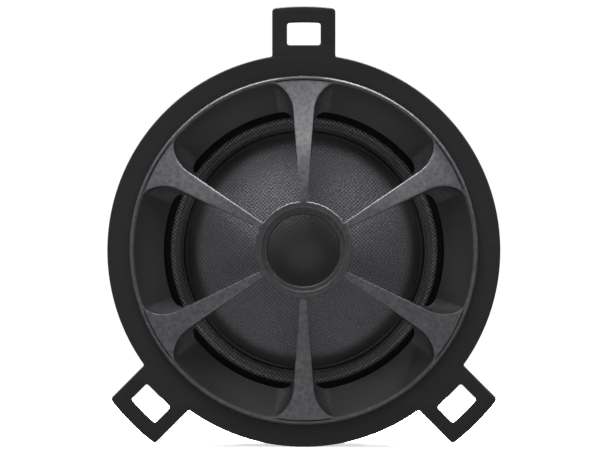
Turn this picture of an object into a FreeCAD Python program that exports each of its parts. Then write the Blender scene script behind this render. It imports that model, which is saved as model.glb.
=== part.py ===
import FreeCAD, Part
import math
import os
import Sketcher

# One-inch soft-dome car tweeter in a three-tab mounting bracket.
#
# Every sub-part is drawn about the driver's own axis: local +Z points forward, out of the grille,
# and z = 0 is the rear face of the mounting flange. The whole tweeter is then stood upright, so that
# it faces -Y, with its single tab on top and +X to the right of a person who looks at the grille.
# Lengths are in millimetres and angles in degrees.

DIMENSIONS = {
    # mounting bracket
    "flange_radius": 21.9,
    "flange_thickness": 1.6,
    "flange_edge_break": 0.15,
    "skirt_radius": 20.0,
    "skirt_bore": 18.95,
    "skirt_depth": 3.5,
    "tab_reach": 27.2,
    "tab_half_width": 3.525,
    "tab_root": 20.8,
    "tab_corner": 0.45,
    "tab_root_fillet": 0.2,
    "slot_inner_distance": 22.86,
    "slot_outer_radius": 25.44,
    "slot_half_width": 1.875,
    "slot_corner": 0.28,
    # front grille
    "rim_radius": 19.6,
    "rim_top_outer": 19.24,
    "rim_top_inner": 19.06,
    "rim_rise": 0.6,
    "rim_chamfer_drop": 0.4,
    "rim_groove_depth": 0.25,
    "spoke_end_radius": 18.9,
    "spoke_end_level": 2.15,
    "shoulder_radius": 12.3,
    "shoulder_level": 4.55,
    "crown_bend": 23.8,
    "crown_level": 5.95,
    "hub_radius": 5.37,
    "hub_step_radius": 4.65,
    "hub_step_depth": 0.35,
    "hub_hole": 4.0,
    "hub_rear_level": 4.7,
    "hub_back_radius": 5.6,
    "hub_back_level": 4.4,
    "opening_radius": 15.67,
    "opening_level": -0.5,
    "spoke_back_level": -0.4,
    "throat_wall": 0.73,
    "throat_end_level": -2.9,
    "barrel_radius": 18.9,
    "barrel_wall": 1.0,
    "shell_back_outer_level": 0.035,
    "shell_back_inner_level": -1.195,
    "boss_radius": 1.25,
    "boss_top_level": 1.0,
    "pilot_hole": 0.82,
    # windows between the spokes, measured along and beside the axis of a spoke
    "spoke_root_half_width": 0.363,
    "flare_start": 15.47,
    "flare_start_half_width": 1.143,
    "flare_bend": 3.83,
    "flare_tip_half_width": 3.27,
    "flank_root_half_width": 0.55,
    "corner_start": 14.19,
    "corner_start_half_width": 1.234,
    "corner_bend": 1.35,
    "corner_end_half_width": 2.8,
    "window_top_level": 8.0,
    # diaphragm
    "dome_radius": 12.94,
    "dome_apex_level": 3.5,
    "dome_inner_radius": 12.68,
    "dome_inner_apex_level": 3.3,
    "seam_level": -2.8,
    "base_flange_radius": 13.3,
    "base_flange_thickness": 0.15,
    "surround_inner_radius": 12.96,
    "surround_thickness": 0.2,
    "roll_inner_radius": 13.25,
    "roll_outer_radius": 14.93,
    "roll_bend": 0.86,
    "roll_hollow_inner": 13.43,
    "roll_hollow_outer": 14.73,
    "roll_hollow_bend": 0.66,
    "lip_radius": 16.3,
    # carrier ring, gasket and tinsel leads
    "carrier_bore": 13.9,
    "carrier_radius": 19.6,
    "carrier_top_level": -3.5,
    "carrier_thickness": 0.9,
    "gasket_bore": 15.7,
    "groove_half_width": 0.2,
    "groove_depth": 0.25,
    "groove_start": 13.0,
    "groove_end": 16.6,
    "eyelet_distance": 17.0,
    "eyelet_radius": 0.45,
    "eyelet_bore": 0.22,
    "eyelet_head_radius": 0.65,
    "eyelet_head_thickness": 0.15,
    "running_gap": 0.05,
    "tinsel_radius": 0.1,
    "tinsel_start": 12.82,
    "tinsel_drop_start": 13.5,
    "tinsel_drop_end": 14.2,
    "tinsel_end": 16.5,
    "tinsel_level": -3.3,
    "tinsel_rest_level": -3.62,
    "tinsel_bend": 0.6,
    # voice coil and motor
    "former_bore": 12.7,
    "former_radius": 12.8,
    "former_end_level": -6.4,
    "winding_radius": 13.15,
    "winding_top_level": -4.3,
    "winding_length": 2.0,
    "vent_bore": 2.5,
    "cup_radius": 14.9,
    "cup_bore": 13.35,
    "cup_floor_thickness": 2.0,
    "cup_chamfer": 0.5,
    "pole_radius": 12.4,
    "pole_thickness": 1.6,
    "magnet_radius": 12.0,
    "magnet_thickness": 3.0,
    "cap_radius": 12.55,
    "cap_thickness": 0.12,
    "cap_bore": 9.6,
    "felt_radius": 9.4,
    "felt_thickness": 1.4,
    # rear housing
    "housing_bore": 15.0,
    "housing_radius": 16.15,
    "housing_flange_thickness": 1.4,
    "housing_ledge": 14.2,
    "housing_rear_level": -15.5,
    "housing_floor": 1.2,
    "seal_rebate_radius": 18.8,
    "seal_thickness": 0.4,
    "channel_half_width": 0.35,
    "channel_inner": 14.0,
    "channel_outer": 15.6,
    "flange_slot_half_width": 0.8,
    "flange_slot_start": 14.5,
    "flange_slot_end": 17.8,
    "flange_slot_depth": 0.8,
    "wadding_radius": 14.1,
    "wadding_front_level": -11.1,
    "wadding_rear_level": -13.3,
    # screws
    "screw_distance": 17.6,
    "screw_clearance": 0.95,
    "screw_shank": 0.8,
    "screw_tip_level": 0.6,
    "screw_head": 1.35,
    "screw_head_height": 1.0,
    "recess_half_length": 0.75,
    "recess_half_width": 0.17,
    "recess_depth": 0.6,
    # terminals
    "board_half_length": 8.0,
    "board_half_height": 4.0,
    "board_thickness": 1.0,
    "board_corner": 0.8,
    "terminal_spacing": 5.0,
    "terminal_thickness": 0.5,
    "foot_front": -2.4,
    "blade_back": 2.6,
    "blade_length": 6.5,
    "blade_outer_bend": 0.7,
    "blade_inner_bend": 0.2,
    "wide_blade_width": 4.8,
    "narrow_blade_width": 2.8,
    "blade_tip_chamfer": 0.6,
    "blade_hole_distance": 2.6,
    "wide_blade_hole": 0.75,
    "narrow_blade_hole": 0.6,
    "lug_radius": 1.5,
    "rivet_radius": 0.6,
    "rivet_head_radius": 1.1,
    "rivet_head_thickness": 0.3,
    # wires, capacitor and label
    "jumper_radius": 0.25,
    "jumper_distance": 15.3,
    "jumper_start": 17.4,
    "jumper_front_level": -4.85,
    "jumper_rear_level": -13.65,
    "jumper_bend": 0.5,
    "capacitor_radius": 2.5,
    "capacitor_half_length": 5.5,
    "capacitor_edge": 0.4,
    "capacitor_height": -8.0,
    "capacitor_level": -18.05,
    "crimp_position": 3.9,
    "crimp_half_width": 0.35,
    "crimp_depth": 0.3,
    "lead_radius": 0.25,
    "lead_turn": 7.9,
    "lead_pass": -4.2,
    "lead_bend": 0.9,
    "glue_half_width": 1.9,
    "glue_half_height": 3.7,
    "glue_thickness": 2.4,
    "solder_radius": 0.95,
    "solder_tip_radius": 0.45,
    "solder_height": 1.05,
    "pad_solder_radius": 0.5,
    "label_half_width": 6.0,
    "label_low": 6.2,
    "label_high": 11.8,
    "label_thickness": 0.1,
}

TAB_ANGLES = (90.0, 225.0, 315.0)
WINDOW_COUNT = 6
SCREW_COUNT = 3
SCREW_FIRST_ANGLE = 30.0
EYELET_COUNT = 2
HALF_PITCH = 30.0
UPRIGHT = FreeCAD.Placement(
    FreeCAD.Vector(0, 0, 0), FreeCAD.Rotation(FreeCAD.Vector(1, 0, 0), 90)
)

document = FreeCAD.newDocument("car_tweeter")


class Size:
    """A number together with the spreadsheet formula that it comes from."""

    def __init__(self, value, formula=None):
        self.value = float(value)
        self.formula = formula if formula else repr(float(value))

    def __add__(self, other):
        other = as_size(other)
        return Size(self.value + other.value, f"({self.formula} + {other.formula})")

    def __sub__(self, other):
        other = as_size(other)
        return Size(self.value - other.value, f"({self.formula} - {other.formula})")

    def __mul__(self, other):
        other = as_size(other)
        return Size(self.value * other.value, f"({self.formula} * {other.formula})")

    def __neg__(self):
        return Size(-self.value, f"(0 - {self.formula})")


class Bend:
    """A round side of an outline: its radius, and whether the outline turns left (1) or right (-1)."""

    def __init__(self, radius, turn, on_axis=False):
        self.radius = as_size(radius)
        self.turn = turn
        self.on_axis = on_axis


def as_size(number):
    """The number itself if it is a Size already, otherwise a plain Size."""
    return number if isinstance(number, Size) else Size(number)


def write_sheet():
    """Puts every driving dimension into the document's spreadsheet and returns them by name."""
    sheet = document.addObject("Spreadsheet::Sheet", "Dims")
    sizes = {}
    for row, (alias, number) in enumerate(DIMENSIONS.items(), start=1):
        sheet.set(f"A{row}", alias.replace("_", " "))
        sheet.set(f"B{row}", str(number))
        sheet.setAlias(f"B{row}", alias)
        sizes[alias] = Size(number, f"Dims.{alias}")
    document.recompute()
    return sizes


D = write_sheet()


def leg(hypotenuse, side):
    """The other leg of a right triangle."""
    value = math.sqrt(hypotenuse.value**2 - side.value**2)
    return Size(value, f"sqrt({hypotenuse.formula} ^ 2 - {side.formula} ^ 2)")


def cap_radius(base, rise):
    """Radius of the sphere whose cap has this base radius and this rise."""
    return (base.value**2 + rise.value**2) / (2 * rise.value)


def beside_spoke(along, aside):
    """A point along and beside a spoke's axis, in the frame of the window that follows it."""
    cosine = Size(math.cos(math.radians(HALF_PITCH)), f"cos({HALF_PITCH} deg)")
    sine = Size(math.sin(math.radians(HALF_PITCH)), f"sin({HALF_PITCH} deg)")
    return along * cosine + aside * sine, along * sine - aside * cosine


def new_body(label):
    """An empty body in the upright frame."""
    body = document.addObject("PartDesign::Body", label)
    body.Label = label
    body.Placement = UPRIGHT
    return body


def origin_feature(body, role):
    """A plane or axis of the body's own origin."""
    return next(f for f in body.Origin.OriginFeatures if f.Role == role)


def new_sketch(body, name, role="XZ_Plane", level=0.0, angle=0.0, shift=(0.0, 0.0)):
    """A sketch on one of the body's origin planes, moved along the plane's normal and turned."""
    level = as_size(level)
    shift = [as_size(step) for step in shift]
    sketch = body.newObject("Sketcher::SketchObject", name)
    sketch.AttachmentSupport = (origin_feature(body, role), [""])
    sketch.MapMode = "FlatFace"
    sketch.AttachmentOffset = FreeCAD.Placement(
        FreeCAD.Vector(shift[0].value, shift[1].value, level.value),
        FreeCAD.Rotation(FreeCAD.Vector(0, 0, 1), angle),
    )
    sketch.setExpression("AttachmentOffset.Base.x", shift[0].formula)
    sketch.setExpression("AttachmentOffset.Base.y", shift[1].formula)
    sketch.setExpression("AttachmentOffset.Base.z", level.formula)
    return sketch


def bind(sketch, constraint, name, size):
    """Adds a dimension to a sketch and ties it to the spreadsheet."""
    index = sketch.addConstraint(constraint)
    sketch.renameConstraint(index, name)
    sketch.setExpression(f"Constraints.{name}", size.formula)


def add_side(sketch, start, end, bend):
    """Adds one straight or round side, and says which of its ends is the start and which the end."""
    if bend is None:
        side = Part.LineSegment(FreeCAD.Vector(*start, 0), FreeCAD.Vector(*end, 0))
        sketch.addGeometry(side, False)
        return 1, 2
    chord = (end[0] - start[0], end[1] - start[1])
    length = math.hypot(*chord)
    away = bend.turn * math.sqrt(bend.radius.value**2 - (length / 2) ** 2) / length
    centre = (
        (start[0] + end[0]) / 2 - chord[1] * away,
        (start[1] + end[1]) / 2 + chord[0] * away,
    )
    circle = Part.Circle(FreeCAD.Vector(*centre, 0), FreeCAD.Vector(0, 0, 1), bend.radius.value)
    angles = [math.atan2(p[1] - centre[1], p[0] - centre[0]) for p in (start, end)]
    if bend.turn < 0:
        angles.reverse()
    sketch.addGeometry(Part.ArcOfCircle(circle, *angles), False)
    return (1, 2) if bend.turn > 0 else (2, 1)


def draw_outline(sketch, corners, bends=None):
    """A closed outline through the corners. bends gives the round sides by the corner they start at."""
    bends = bends or {}
    corners = [(as_size(x), as_size(y)) for x, y in corners]
    places = [(x.value, y.value) for x, y in corners]
    count = len(corners)
    first = sketch.GeometryCount
    ends = []
    for i in range(count):
        ends.append(add_side(sketch, places[i], places[(i + 1) % count], bends.get(i)))
    for i in range(count):
        after = (i + 1) % count
        joint = (first + i, ends[i][1], first + after, ends[after][0])
        sketch.addConstraint(Sketcher.Constraint("Coincident", *joint))
    for i, (x, y) in enumerate(corners):
        corner = (first + i, ends[i][0])
        for size, kind, axis, mark in ((x, "DistanceX", -2, "across"), (y, "DistanceY", -1, "up")):
            if size.value == 0.0:
                sketch.addConstraint(Sketcher.Constraint("PointOnObject", *corner, axis))
            else:
                distance = Sketcher.Constraint(kind, -1, 1, *corner, size.value)
                bind(sketch, distance, f"{mark}_{first + i}", size)
    for i, bend in bends.items():
        if bend.on_axis:
            sketch.addConstraint(Sketcher.Constraint("PointOnObject", first + i, 3, -2))
        else:
            radius = Sketcher.Constraint("Radius", first + i, bend.radius.value)
            bind(sketch, radius, f"bend_{first + i}", bend.radius)


def draw_circle(sketch, centre, radius):
    """A circle whose centre and radius are tied to the spreadsheet."""
    x, y, radius = as_size(centre[0]), as_size(centre[1]), as_size(radius)
    index = sketch.GeometryCount
    middle = FreeCAD.Vector(x.value, y.value, 0)
    sketch.addGeometry(Part.Circle(middle, FreeCAD.Vector(0, 0, 1), radius.value), False)
    for size, kind, axis, mark in ((x, "DistanceX", -2, "across"), (y, "DistanceY", -1, "up")):
        if size.value == 0.0:
            sketch.addConstraint(Sketcher.Constraint("PointOnObject", index, 3, axis))
        else:
            distance = Sketcher.Constraint(kind, -1, 1, index, 3, size.value)
            bind(sketch, distance, f"{mark}_{index}", size)
    bind(sketch, Sketcher.Constraint("Radius", index, radius.value), f"size_{index}", radius)


def draw_rectangle(sketch, low, high):
    """A rectangle from its low corner to its high corner."""
    draw_outline(sketch, [low, (high[0], low[1]), high, (low[0], high[1])])


def turn(body, sketch, axis="V_Axis", name="Turned"):
    """Revolves a sketch right round one of its axes."""
    feature = body.newObject("PartDesign::Revolution", name)
    feature.Profile = sketch
    feature.ReferenceAxis = (sketch, [axis])
    feature.Angle = 360
    return feature


def pad(body, sketch, length, midplane=False, name="Raised"):
    """Raises a sketch along its normal."""
    length = as_size(length)
    feature = body.newObject("PartDesign::Pad", name)
    feature.Profile = sketch
    feature.Length = length.value
    feature.setExpression("Length", length.formula)
    feature.Midplane = midplane
    return feature


def pocket(body, sketch, length, midplane=False, name="Cut"):
    """Cuts a sketch away along its normal, and makes sure that something was cut."""
    length = as_size(length)
    document.recompute()
    before = body.Tip.Shape.Volume
    feature = body.newObject("PartDesign::Pocket", name)
    feature.Profile = sketch
    feature.Length = length.value
    feature.setExpression("Length", length.formula)
    feature.Midplane = midplane
    feature.Reversed = not midplane
    document.recompute()
    if feature.Shape.Volume >= before - 1e-6:
        raise RuntimeError(f"{body.Label}: {name} cuts nothing")
    return feature


def repeat(body, features, count, name="Round"):
    """Repeats features evenly about the driver's axis."""
    pattern = body.newObject("PartDesign::PolarPattern", name)
    pattern.Originals = features
    pattern.Axis = (origin_feature(body, "Z_Axis"), [""])
    pattern.Angle = 360
    pattern.Occurrences = count
    body.Tip = pattern
    return pattern


def edges_where(feature, test):
    """Names of the feature's edges whose two ends pass the test."""
    document.recompute()
    names = []
    for number, edge in enumerate(feature.Shape.Edges, start=1):
        ends = [vertex.Point for vertex in edge.Vertexes]
        if len(ends) == 2 and test(*ends):
            names.append(f"Edge{number}")
    return names


def dress(body, kind, base, names, size, name):
    """Rounds (PartDesign::Fillet) or bevels (PartDesign::Chamfer) the named edges."""
    feature = body.newObject(kind, name)
    feature.Base = (base, names)
    what = "Radius" if kind.endswith("Fillet") else "Size"
    setattr(feature, what, size.value)
    feature.setExpression(what, size.formula)
    return feature


def make_ring(label, bore, radius, low, high):
    """A plain ring between two radii and two levels."""
    body = new_body(label)
    sketch = new_sketch(body, "Section")
    draw_rectangle(sketch, (bore, low), (radius, high))
    turn(body, sketch)
    return body


def make_tube(label, points, radius, bend):
    """A round wire along straight runs joined by tangent arcs, all in one plane."""
    places = [FreeCAD.Vector(*(as_size(step).value for step in point)) for point in points]
    edges = []
    start = places[0]
    for before, corner, after in zip(places, places[1:], places[2:]):
        to_before = (before - corner).normalize()
        to_after = (after - corner).normalize()
        half = to_before.getAngle(to_after) / 2
        reach = bend.value / math.tan(half)
        middle = (to_before + to_after).normalize()
        enter = corner + to_before * reach
        leave = corner + to_after * reach
        top = corner + middle * (bend.value / math.sin(half) - bend.value)
        edges.append(Part.LineSegment(start, enter).toShape())
        edges.append(Part.Arc(enter, top, leave).toShape())
        start = leave
    edges.append(Part.LineSegment(start, places[-1]).toShape())
    path = Part.Wire(edges)
    circle = Part.Circle(places[0], places[1] - places[0], radius.value)
    section = Part.Wire([circle.toShape()])
    tube = path.makePipeShell([section], True, True)
    expected = math.pi * radius.value**2 * path.Length
    if abs(tube.Volume - expected) > 0.01 * expected:
        raise RuntimeError(f"{label}: the tube's volume isn't its section times its length")
    return tube


def make_wires(label, tubes):
    """One node of one or more wires."""
    piece = document.addObject("Part::Feature", label)
    piece.Label = label
    piece.Shape = tubes[0] if len(tubes) == 1 else Part.makeCompound(tubes)
    piece.Placement = UPRIGHT
    return piece


def make_mounting_bracket():
    """Flat flange with a locating skirt behind it and three slotted tabs."""
    body = new_body("mounting_bracket")
    section = new_sketch(body, "FlangeSection")
    draw_outline(
        section,
        [
            (D["skirt_bore"], -D["skirt_depth"]),
            (D["skirt_radius"], -D["skirt_depth"]),
            (D["skirt_radius"], 0.0),
            (D["flange_radius"], 0.0),
            (D["flange_radius"], D["flange_thickness"] - D["flange_edge_break"]),
            (D["flange_radius"] - D["flange_edge_break"], D["flange_thickness"]),
            (D["skirt_bore"], D["flange_thickness"]),
        ],
    )
    turn(body, section, name="Flange")
    tab_corner = leg(D["tab_reach"], D["tab_half_width"])
    slot_corner = leg(D["slot_outer_radius"], D["slot_half_width"])
    for angle in TAB_ANGLES:
        tab = new_sketch(body, "TabOutline", "XY_Plane", angle=angle)
        draw_outline(
            tab,
            [
                (D["tab_root"], -D["tab_half_width"]),
                (tab_corner, -D["tab_half_width"]),
                (tab_corner, D["tab_half_width"]),
                (D["tab_root"], D["tab_half_width"]),
            ],
            {1: Bend(D["tab_reach"], 1)},
        )
        pad(body, tab, D["flange_thickness"], name="Tab")
    for angle in TAB_ANGLES:
        slot = new_sketch(body, "SlotOutline", "XY_Plane", angle=angle)
        draw_outline(
            slot,
            [
                (D["slot_inner_distance"], -D["slot_half_width"]),
                (slot_corner, -D["slot_half_width"]),
                (slot_corner, D["slot_half_width"]),
                (D["slot_inner_distance"], D["slot_half_width"]),
            ],
            {1: Bend(D["slot_outer_radius"], 1)},
        )
        last = pocket(body, slot, D["flange_thickness"], name="Slot")

    def upright_at(low, high):
        def test(start, end):
            level = math.hypot(start.x - end.x, start.y - end.y) < 1e-6
            return level and low < math.hypot(start.x, start.y) < high

        return test

    tab_tip = math.hypot(tab_corner.value, D["tab_half_width"].value)
    tips = edges_where(last, upright_at(tab_tip - 0.1, tab_tip + 0.1))
    last = dress(body, "PartDesign::Fillet", last, tips, D["tab_corner"], "TabCorners")
    flange = D["flange_radius"].value
    holes = edges_where(last, upright_at(flange + 0.5, D["slot_outer_radius"].value + 0.1))
    last = dress(body, "PartDesign::Fillet", last, holes, D["slot_corner"], "SlotCorners")
    roots = edges_where(last, upright_at(flange - 0.05, flange + 0.05))
    dress(body, "PartDesign::Fillet", last, roots, D["tab_root_fillet"], "TabRoots")
    return body


def draw_window(sketch, edge_radius, root, start, tip_half_width, bend):
    """The outline of one window: hub arc, two spoke sides, two round corners and the outer arc."""
    hub = beside_spoke(leg(D["hub_radius"], root), root)
    side = beside_spoke(*start)
    tip = beside_spoke(leg(edge_radius, tip_half_width), tip_half_width)
    draw_outline(
        sketch,
        [
            (hub[0], -hub[1]),
            (side[0], -side[1]),
            (tip[0], -tip[1]),
            tip,
            side,
            hub,
        ],
        {
            1: Bend(bend, 1),
            2: Bend(edge_radius, 1),
            3: Bend(bend, 1),
            5: Bend(D["hub_radius"], -1),
        },
    )


def make_front_grille():
    """Rim, six conical windows, six spokes and a stepped hub ring, with a barrel and bosses behind."""
    body = new_body("front_grille")
    flange = D["flange_thickness"]
    throat = D["opening_radius"] + D["throat_wall"]
    section = new_sketch(body, "GrilleSection")
    draw_outline(
        section,
        [
            (D["hub_hole"], D["hub_rear_level"]),
            (D["hub_hole"], D["crown_level"] - D["hub_step_depth"]),
            (D["hub_step_radius"], D["crown_level"] - D["hub_step_depth"]),
            (D["hub_step_radius"], D["crown_level"]),
            (D["hub_radius"], D["crown_level"]),
            (D["shoulder_radius"], D["shoulder_level"]),
            (D["spoke_end_radius"], D["spoke_end_level"]),
            (D["spoke_end_radius"], D["spoke_end_level"] - D["rim_groove_depth"]),
            (D["rim_top_inner"], D["spoke_end_level"] - D["rim_groove_depth"]),
            (D["rim_top_inner"], flange + D["rim_rise"]),
            (D["rim_top_outer"], flange + D["rim_rise"]),
            (D["rim_radius"], flange + D["rim_rise"] - D["rim_chamfer_drop"]),
            (D["rim_radius"], flange),
            (D["barrel_radius"], flange),
            (D["barrel_radius"], D["carrier_top_level"]),
            (D["barrel_radius"] - D["barrel_wall"], D["carrier_top_level"]),
            (D["barrel_radius"] - D["barrel_wall"], D["shell_back_outer_level"]),
            (throat, D["shell_back_inner_level"]),
            (throat, D["throat_end_level"]),
            (D["opening_radius"], D["throat_end_level"]),
            (D["opening_radius"], D["spoke_back_level"]),
            (D["hub_back_radius"], D["hub_back_level"]),
        ],
        {4: Bend(D["crown_bend"], -1)},
    )
    turn(body, section, name="Umbrella")

    boss = new_sketch(body, "BossOutline", "XY_Plane", D["carrier_top_level"], SCREW_FIRST_ANGLE)
    draw_circle(boss, (D["screw_distance"], 0.0), D["boss_radius"])
    boss_pad = pad(body, boss, D["boss_top_level"] - D["carrier_top_level"], name="Boss")
    repeat(body, [boss_pad], SCREW_COUNT, "Bosses")

    rear = new_sketch(body, "WindowBack", "XY_Plane", D["opening_level"])
    draw_window(
        rear,
        D["opening_radius"],
        D["flank_root_half_width"],
        (D["corner_start"], D["corner_start_half_width"]),
        D["corner_end_half_width"],
        D["corner_bend"],
    )
    front = new_sketch(body, "WindowFront", "XY_Plane", D["spoke_end_level"])
    draw_window(
        front,
        D["spoke_end_radius"],
        D["spoke_root_half_width"],
        (D["flare_start"], D["flare_start_half_width"]),
        D["flare_tip_half_width"],
        D["flare_bend"],
    )
    document.recompute()
    scoop = body.newObject("PartDesign::SubtractiveLoft", "Scoop")
    scoop.Profile = rear
    scoop.Sections = [front]
    scoop.Ruled = True
    top = new_sketch(body, "WindowTop", "XY_Plane", D["spoke_end_level"])
    draw_window(
        top,
        D["spoke_end_radius"],
        D["spoke_root_half_width"],
        (D["flare_start"], D["flare_start_half_width"]),
        D["flare_tip_half_width"],
        D["flare_bend"],
    )
    shaft = pocket(body, top, D["window_top_level"] - D["spoke_end_level"], name="Shaft")
    repeat(body, [scoop, shaft], WINDOW_COUNT, "Windows")

    pilot = new_sketch(body, "PilotOutline", "XY_Plane", D["carrier_top_level"], SCREW_FIRST_ANGLE)
    draw_circle(pilot, (D["screw_distance"], 0.0), D["pilot_hole"])
    hole = pocket(body, pilot, D["boss_top_level"] - D["carrier_top_level"], name="Pilot")
    repeat(body, [hole], SCREW_COUNT, "Pilots")
    return body


def make_dome():
    """Thin spherical cap of coated cloth on a narrow flat flange that is glued to the former."""
    body = new_body("dome_diaphragm")
    seam = D["seam_level"]
    base = seam - D["base_flange_thickness"]
    inner = cap_radius(D["dome_inner_radius"], D["dome_inner_apex_level"] - seam)
    outer = cap_radius(D["dome_radius"], D["dome_apex_level"] - seam)
    section = new_sketch(body, "DomeSection")
    draw_outline(
        section,
        [
            (0.0, D["dome_inner_apex_level"]),
            (D["dome_inner_radius"], seam),
            (D["dome_inner_radius"], base),
            (D["base_flange_radius"], base),
            (D["base_flange_radius"], seam),
            (D["dome_radius"], seam),
            (0.0, D["dome_apex_level"]),
        ],
        {0: Bend(inner, -1, on_axis=True), 5: Bend(outer, 1, on_axis=True)},
    )
    turn(body, section, name="Dome")
    return body


def make_surround():
    """Half-roll of cloth from the dome's flange out to a lip that is glued to the carrier."""
    body = new_body("surround")
    seam = D["seam_level"]
    lip = D["carrier_top_level"]
    section = new_sketch(body, "RollSection")
    draw_outline(
        section,
        [
            (D["surround_inner_radius"], seam),
            (D["roll_hollow_inner"], seam),
            (D["roll_hollow_outer"], seam),
            (D["roll_hollow_outer"], lip),
            (D["lip_radius"], lip),
            (D["lip_radius"], lip + D["surround_thickness"]),
            (D["roll_outer_radius"], lip + D["surround_thickness"]),
            (D["roll_outer_radius"], seam),
            (D["roll_inner_radius"], seam + D["surround_thickness"]),
            (D["surround_inner_radius"], seam + D["surround_thickness"]),
        ],
        {1: Bend(D["roll_hollow_bend"], -1), 7: Bend(D["roll_bend"], 1)},
    )
    turn(body, section, name="Roll")
    return body


def cut_screw_holes(body, level, length):
    """Three clearance holes for the housing screws."""
    outline = new_sketch(body, "ScrewHole", "XY_Plane", level, SCREW_FIRST_ANGLE)
    draw_circle(outline, (D["screw_distance"], 0.0), D["screw_clearance"])
    hole = pocket(body, outline, length, name="ScrewHole")
    repeat(body, [hole], SCREW_COUNT, "ScrewHoles")


def make_diaphragm_ring():
    """Carrier ring: the surround is glued to its front, and two eyelets bring the coil's leads out."""
    top = D["carrier_top_level"]
    bottom = top - D["carrier_thickness"]
    body = make_ring("diaphragm_ring", D["carrier_bore"], D["carrier_radius"], bottom, top)
    cut_screw_holes(body, bottom, D["carrier_thickness"])
    groove = new_sketch(body, "LeadGroove", "XY_Plane", top - D["groove_depth"])
    half = D["groove_half_width"]
    draw_rectangle(groove, (D["groove_start"], -half), (D["groove_end"], half))
    channel = pocket(body, groove, D["groove_depth"], name="Groove")
    repeat(body, [channel], EYELET_COUNT, "Grooves")
    eyelet = new_sketch(body, "EyeletHole", "XY_Plane", bottom)
    draw_circle(eyelet, (D["eyelet_distance"], 0.0), D["eyelet_radius"])
    hole = pocket(body, eyelet, D["carrier_thickness"], name="EyeletHole")
    repeat(body, [hole], EYELET_COUNT, "EyeletHoles")
    return body


def make_lead_eyelets():
    """Two hollow rivets through the carrier, each with a head in front and a flare behind."""
    body = new_body("lead_eyelets")
    top = D["carrier_top_level"]
    bottom = top - D["carrier_thickness"]
    head = D["eyelet_head_thickness"]
    place = (D["eyelet_distance"], 0.0)
    levels = (
        (D["eyelet_head_radius"], bottom - head, head),
        (D["eyelet_radius"], bottom, D["carrier_thickness"]),
        (D["eyelet_head_radius"], top, head),
    )
    solids = []
    for radius, level, length in levels:
        outline = new_sketch(body, "EyeletOutline", "XY_Plane", level)
        draw_circle(outline, place, radius)
        draw_circle(outline, place, D["eyelet_bore"])
        solids.append(pad(body, outline, length, name="Eyelet"))
    repeat(body, solids, EYELET_COUNT, "Eyelets")
    return body


def make_lead(label, side):
    """A tinsel lead from the former, under the surround, to its eyelet; side is +1 or -1 along X."""
    sign = as_size(side)
    level, rest = D["tinsel_level"], D["tinsel_rest_level"]
    points = [
        (D["tinsel_start"] * sign, 0.0, level),
        (D["tinsel_drop_start"] * sign, 0.0, level),
        (D["tinsel_drop_end"] * sign, 0.0, rest),
        (D["tinsel_end"] * sign, 0.0, rest),
    ]
    return make_wires(label, [make_tube(label, points, D["tinsel_radius"], D["tinsel_bend"])])


def make_yoke_cup(floor, rim):
    """Steel cup that closes the magnetic circuit round the voice coil."""
    body = new_body("yoke_cup")
    chamfer = D["cup_chamfer"]
    section = new_sketch(body, "CupSection")
    draw_outline(
        section,
        [
            (D["vent_bore"], floor - D["cup_floor_thickness"]),
            (D["cup_radius"] - chamfer, floor - D["cup_floor_thickness"]),
            (D["cup_radius"], floor - D["cup_floor_thickness"] + chamfer),
            (D["cup_radius"], rim),
            (D["cup_bore"], rim),
            (D["cup_bore"], floor),
            (D["vent_bore"], floor),
        ],
    )
    turn(body, section, name="Cup")
    return body


def make_copper_cap(pole_top):
    """Thin copper cap over the edge and side of the pole plate."""
    body = new_body("copper_cap")
    section = new_sketch(body, "CapSection")
    draw_outline(
        section,
        [
            (D["cap_bore"], pole_top),
            (D["pole_radius"], pole_top),
            (D["pole_radius"], pole_top - D["pole_thickness"]),
            (D["cap_radius"], pole_top - D["pole_thickness"]),
            (D["cap_radius"], pole_top + D["cap_thickness"]),
            (D["cap_bore"], pole_top + D["cap_thickness"]),
        ],
    )
    turn(body, section, name="Cap")
    return body


def make_motor():
    """Voice coil, felt, pole plate, copper cap, magnet and cup, stacked on the driver's axis."""
    rim = D["carrier_top_level"] - D["carrier_thickness"]
    pole_bottom = rim - D["pole_thickness"]
    floor = pole_bottom - D["magnet_thickness"]
    base = D["seam_level"] - D["base_flange_thickness"]
    winding_top = D["winding_top_level"]
    winding_bottom = winding_top - D["winding_length"]
    bore = D["vent_bore"]
    return [
        make_ring(
            "voice_coil_former", D["former_bore"], D["former_radius"], D["former_end_level"], base
        ),
        make_ring(
            "voice_coil_winding", D["former_radius"], D["winding_radius"], winding_bottom, winding_top
        ),
        make_ring("damping_felt", bore, D["felt_radius"], rim, rim + D["felt_thickness"]),
        make_ring("pole_plate", bore, D["pole_radius"], pole_bottom, rim),
        make_copper_cap(rim),
        make_ring("ring_magnet", bore, D["magnet_radius"], floor, pole_bottom),
        make_yoke_cup(floor, rim),
    ]


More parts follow.
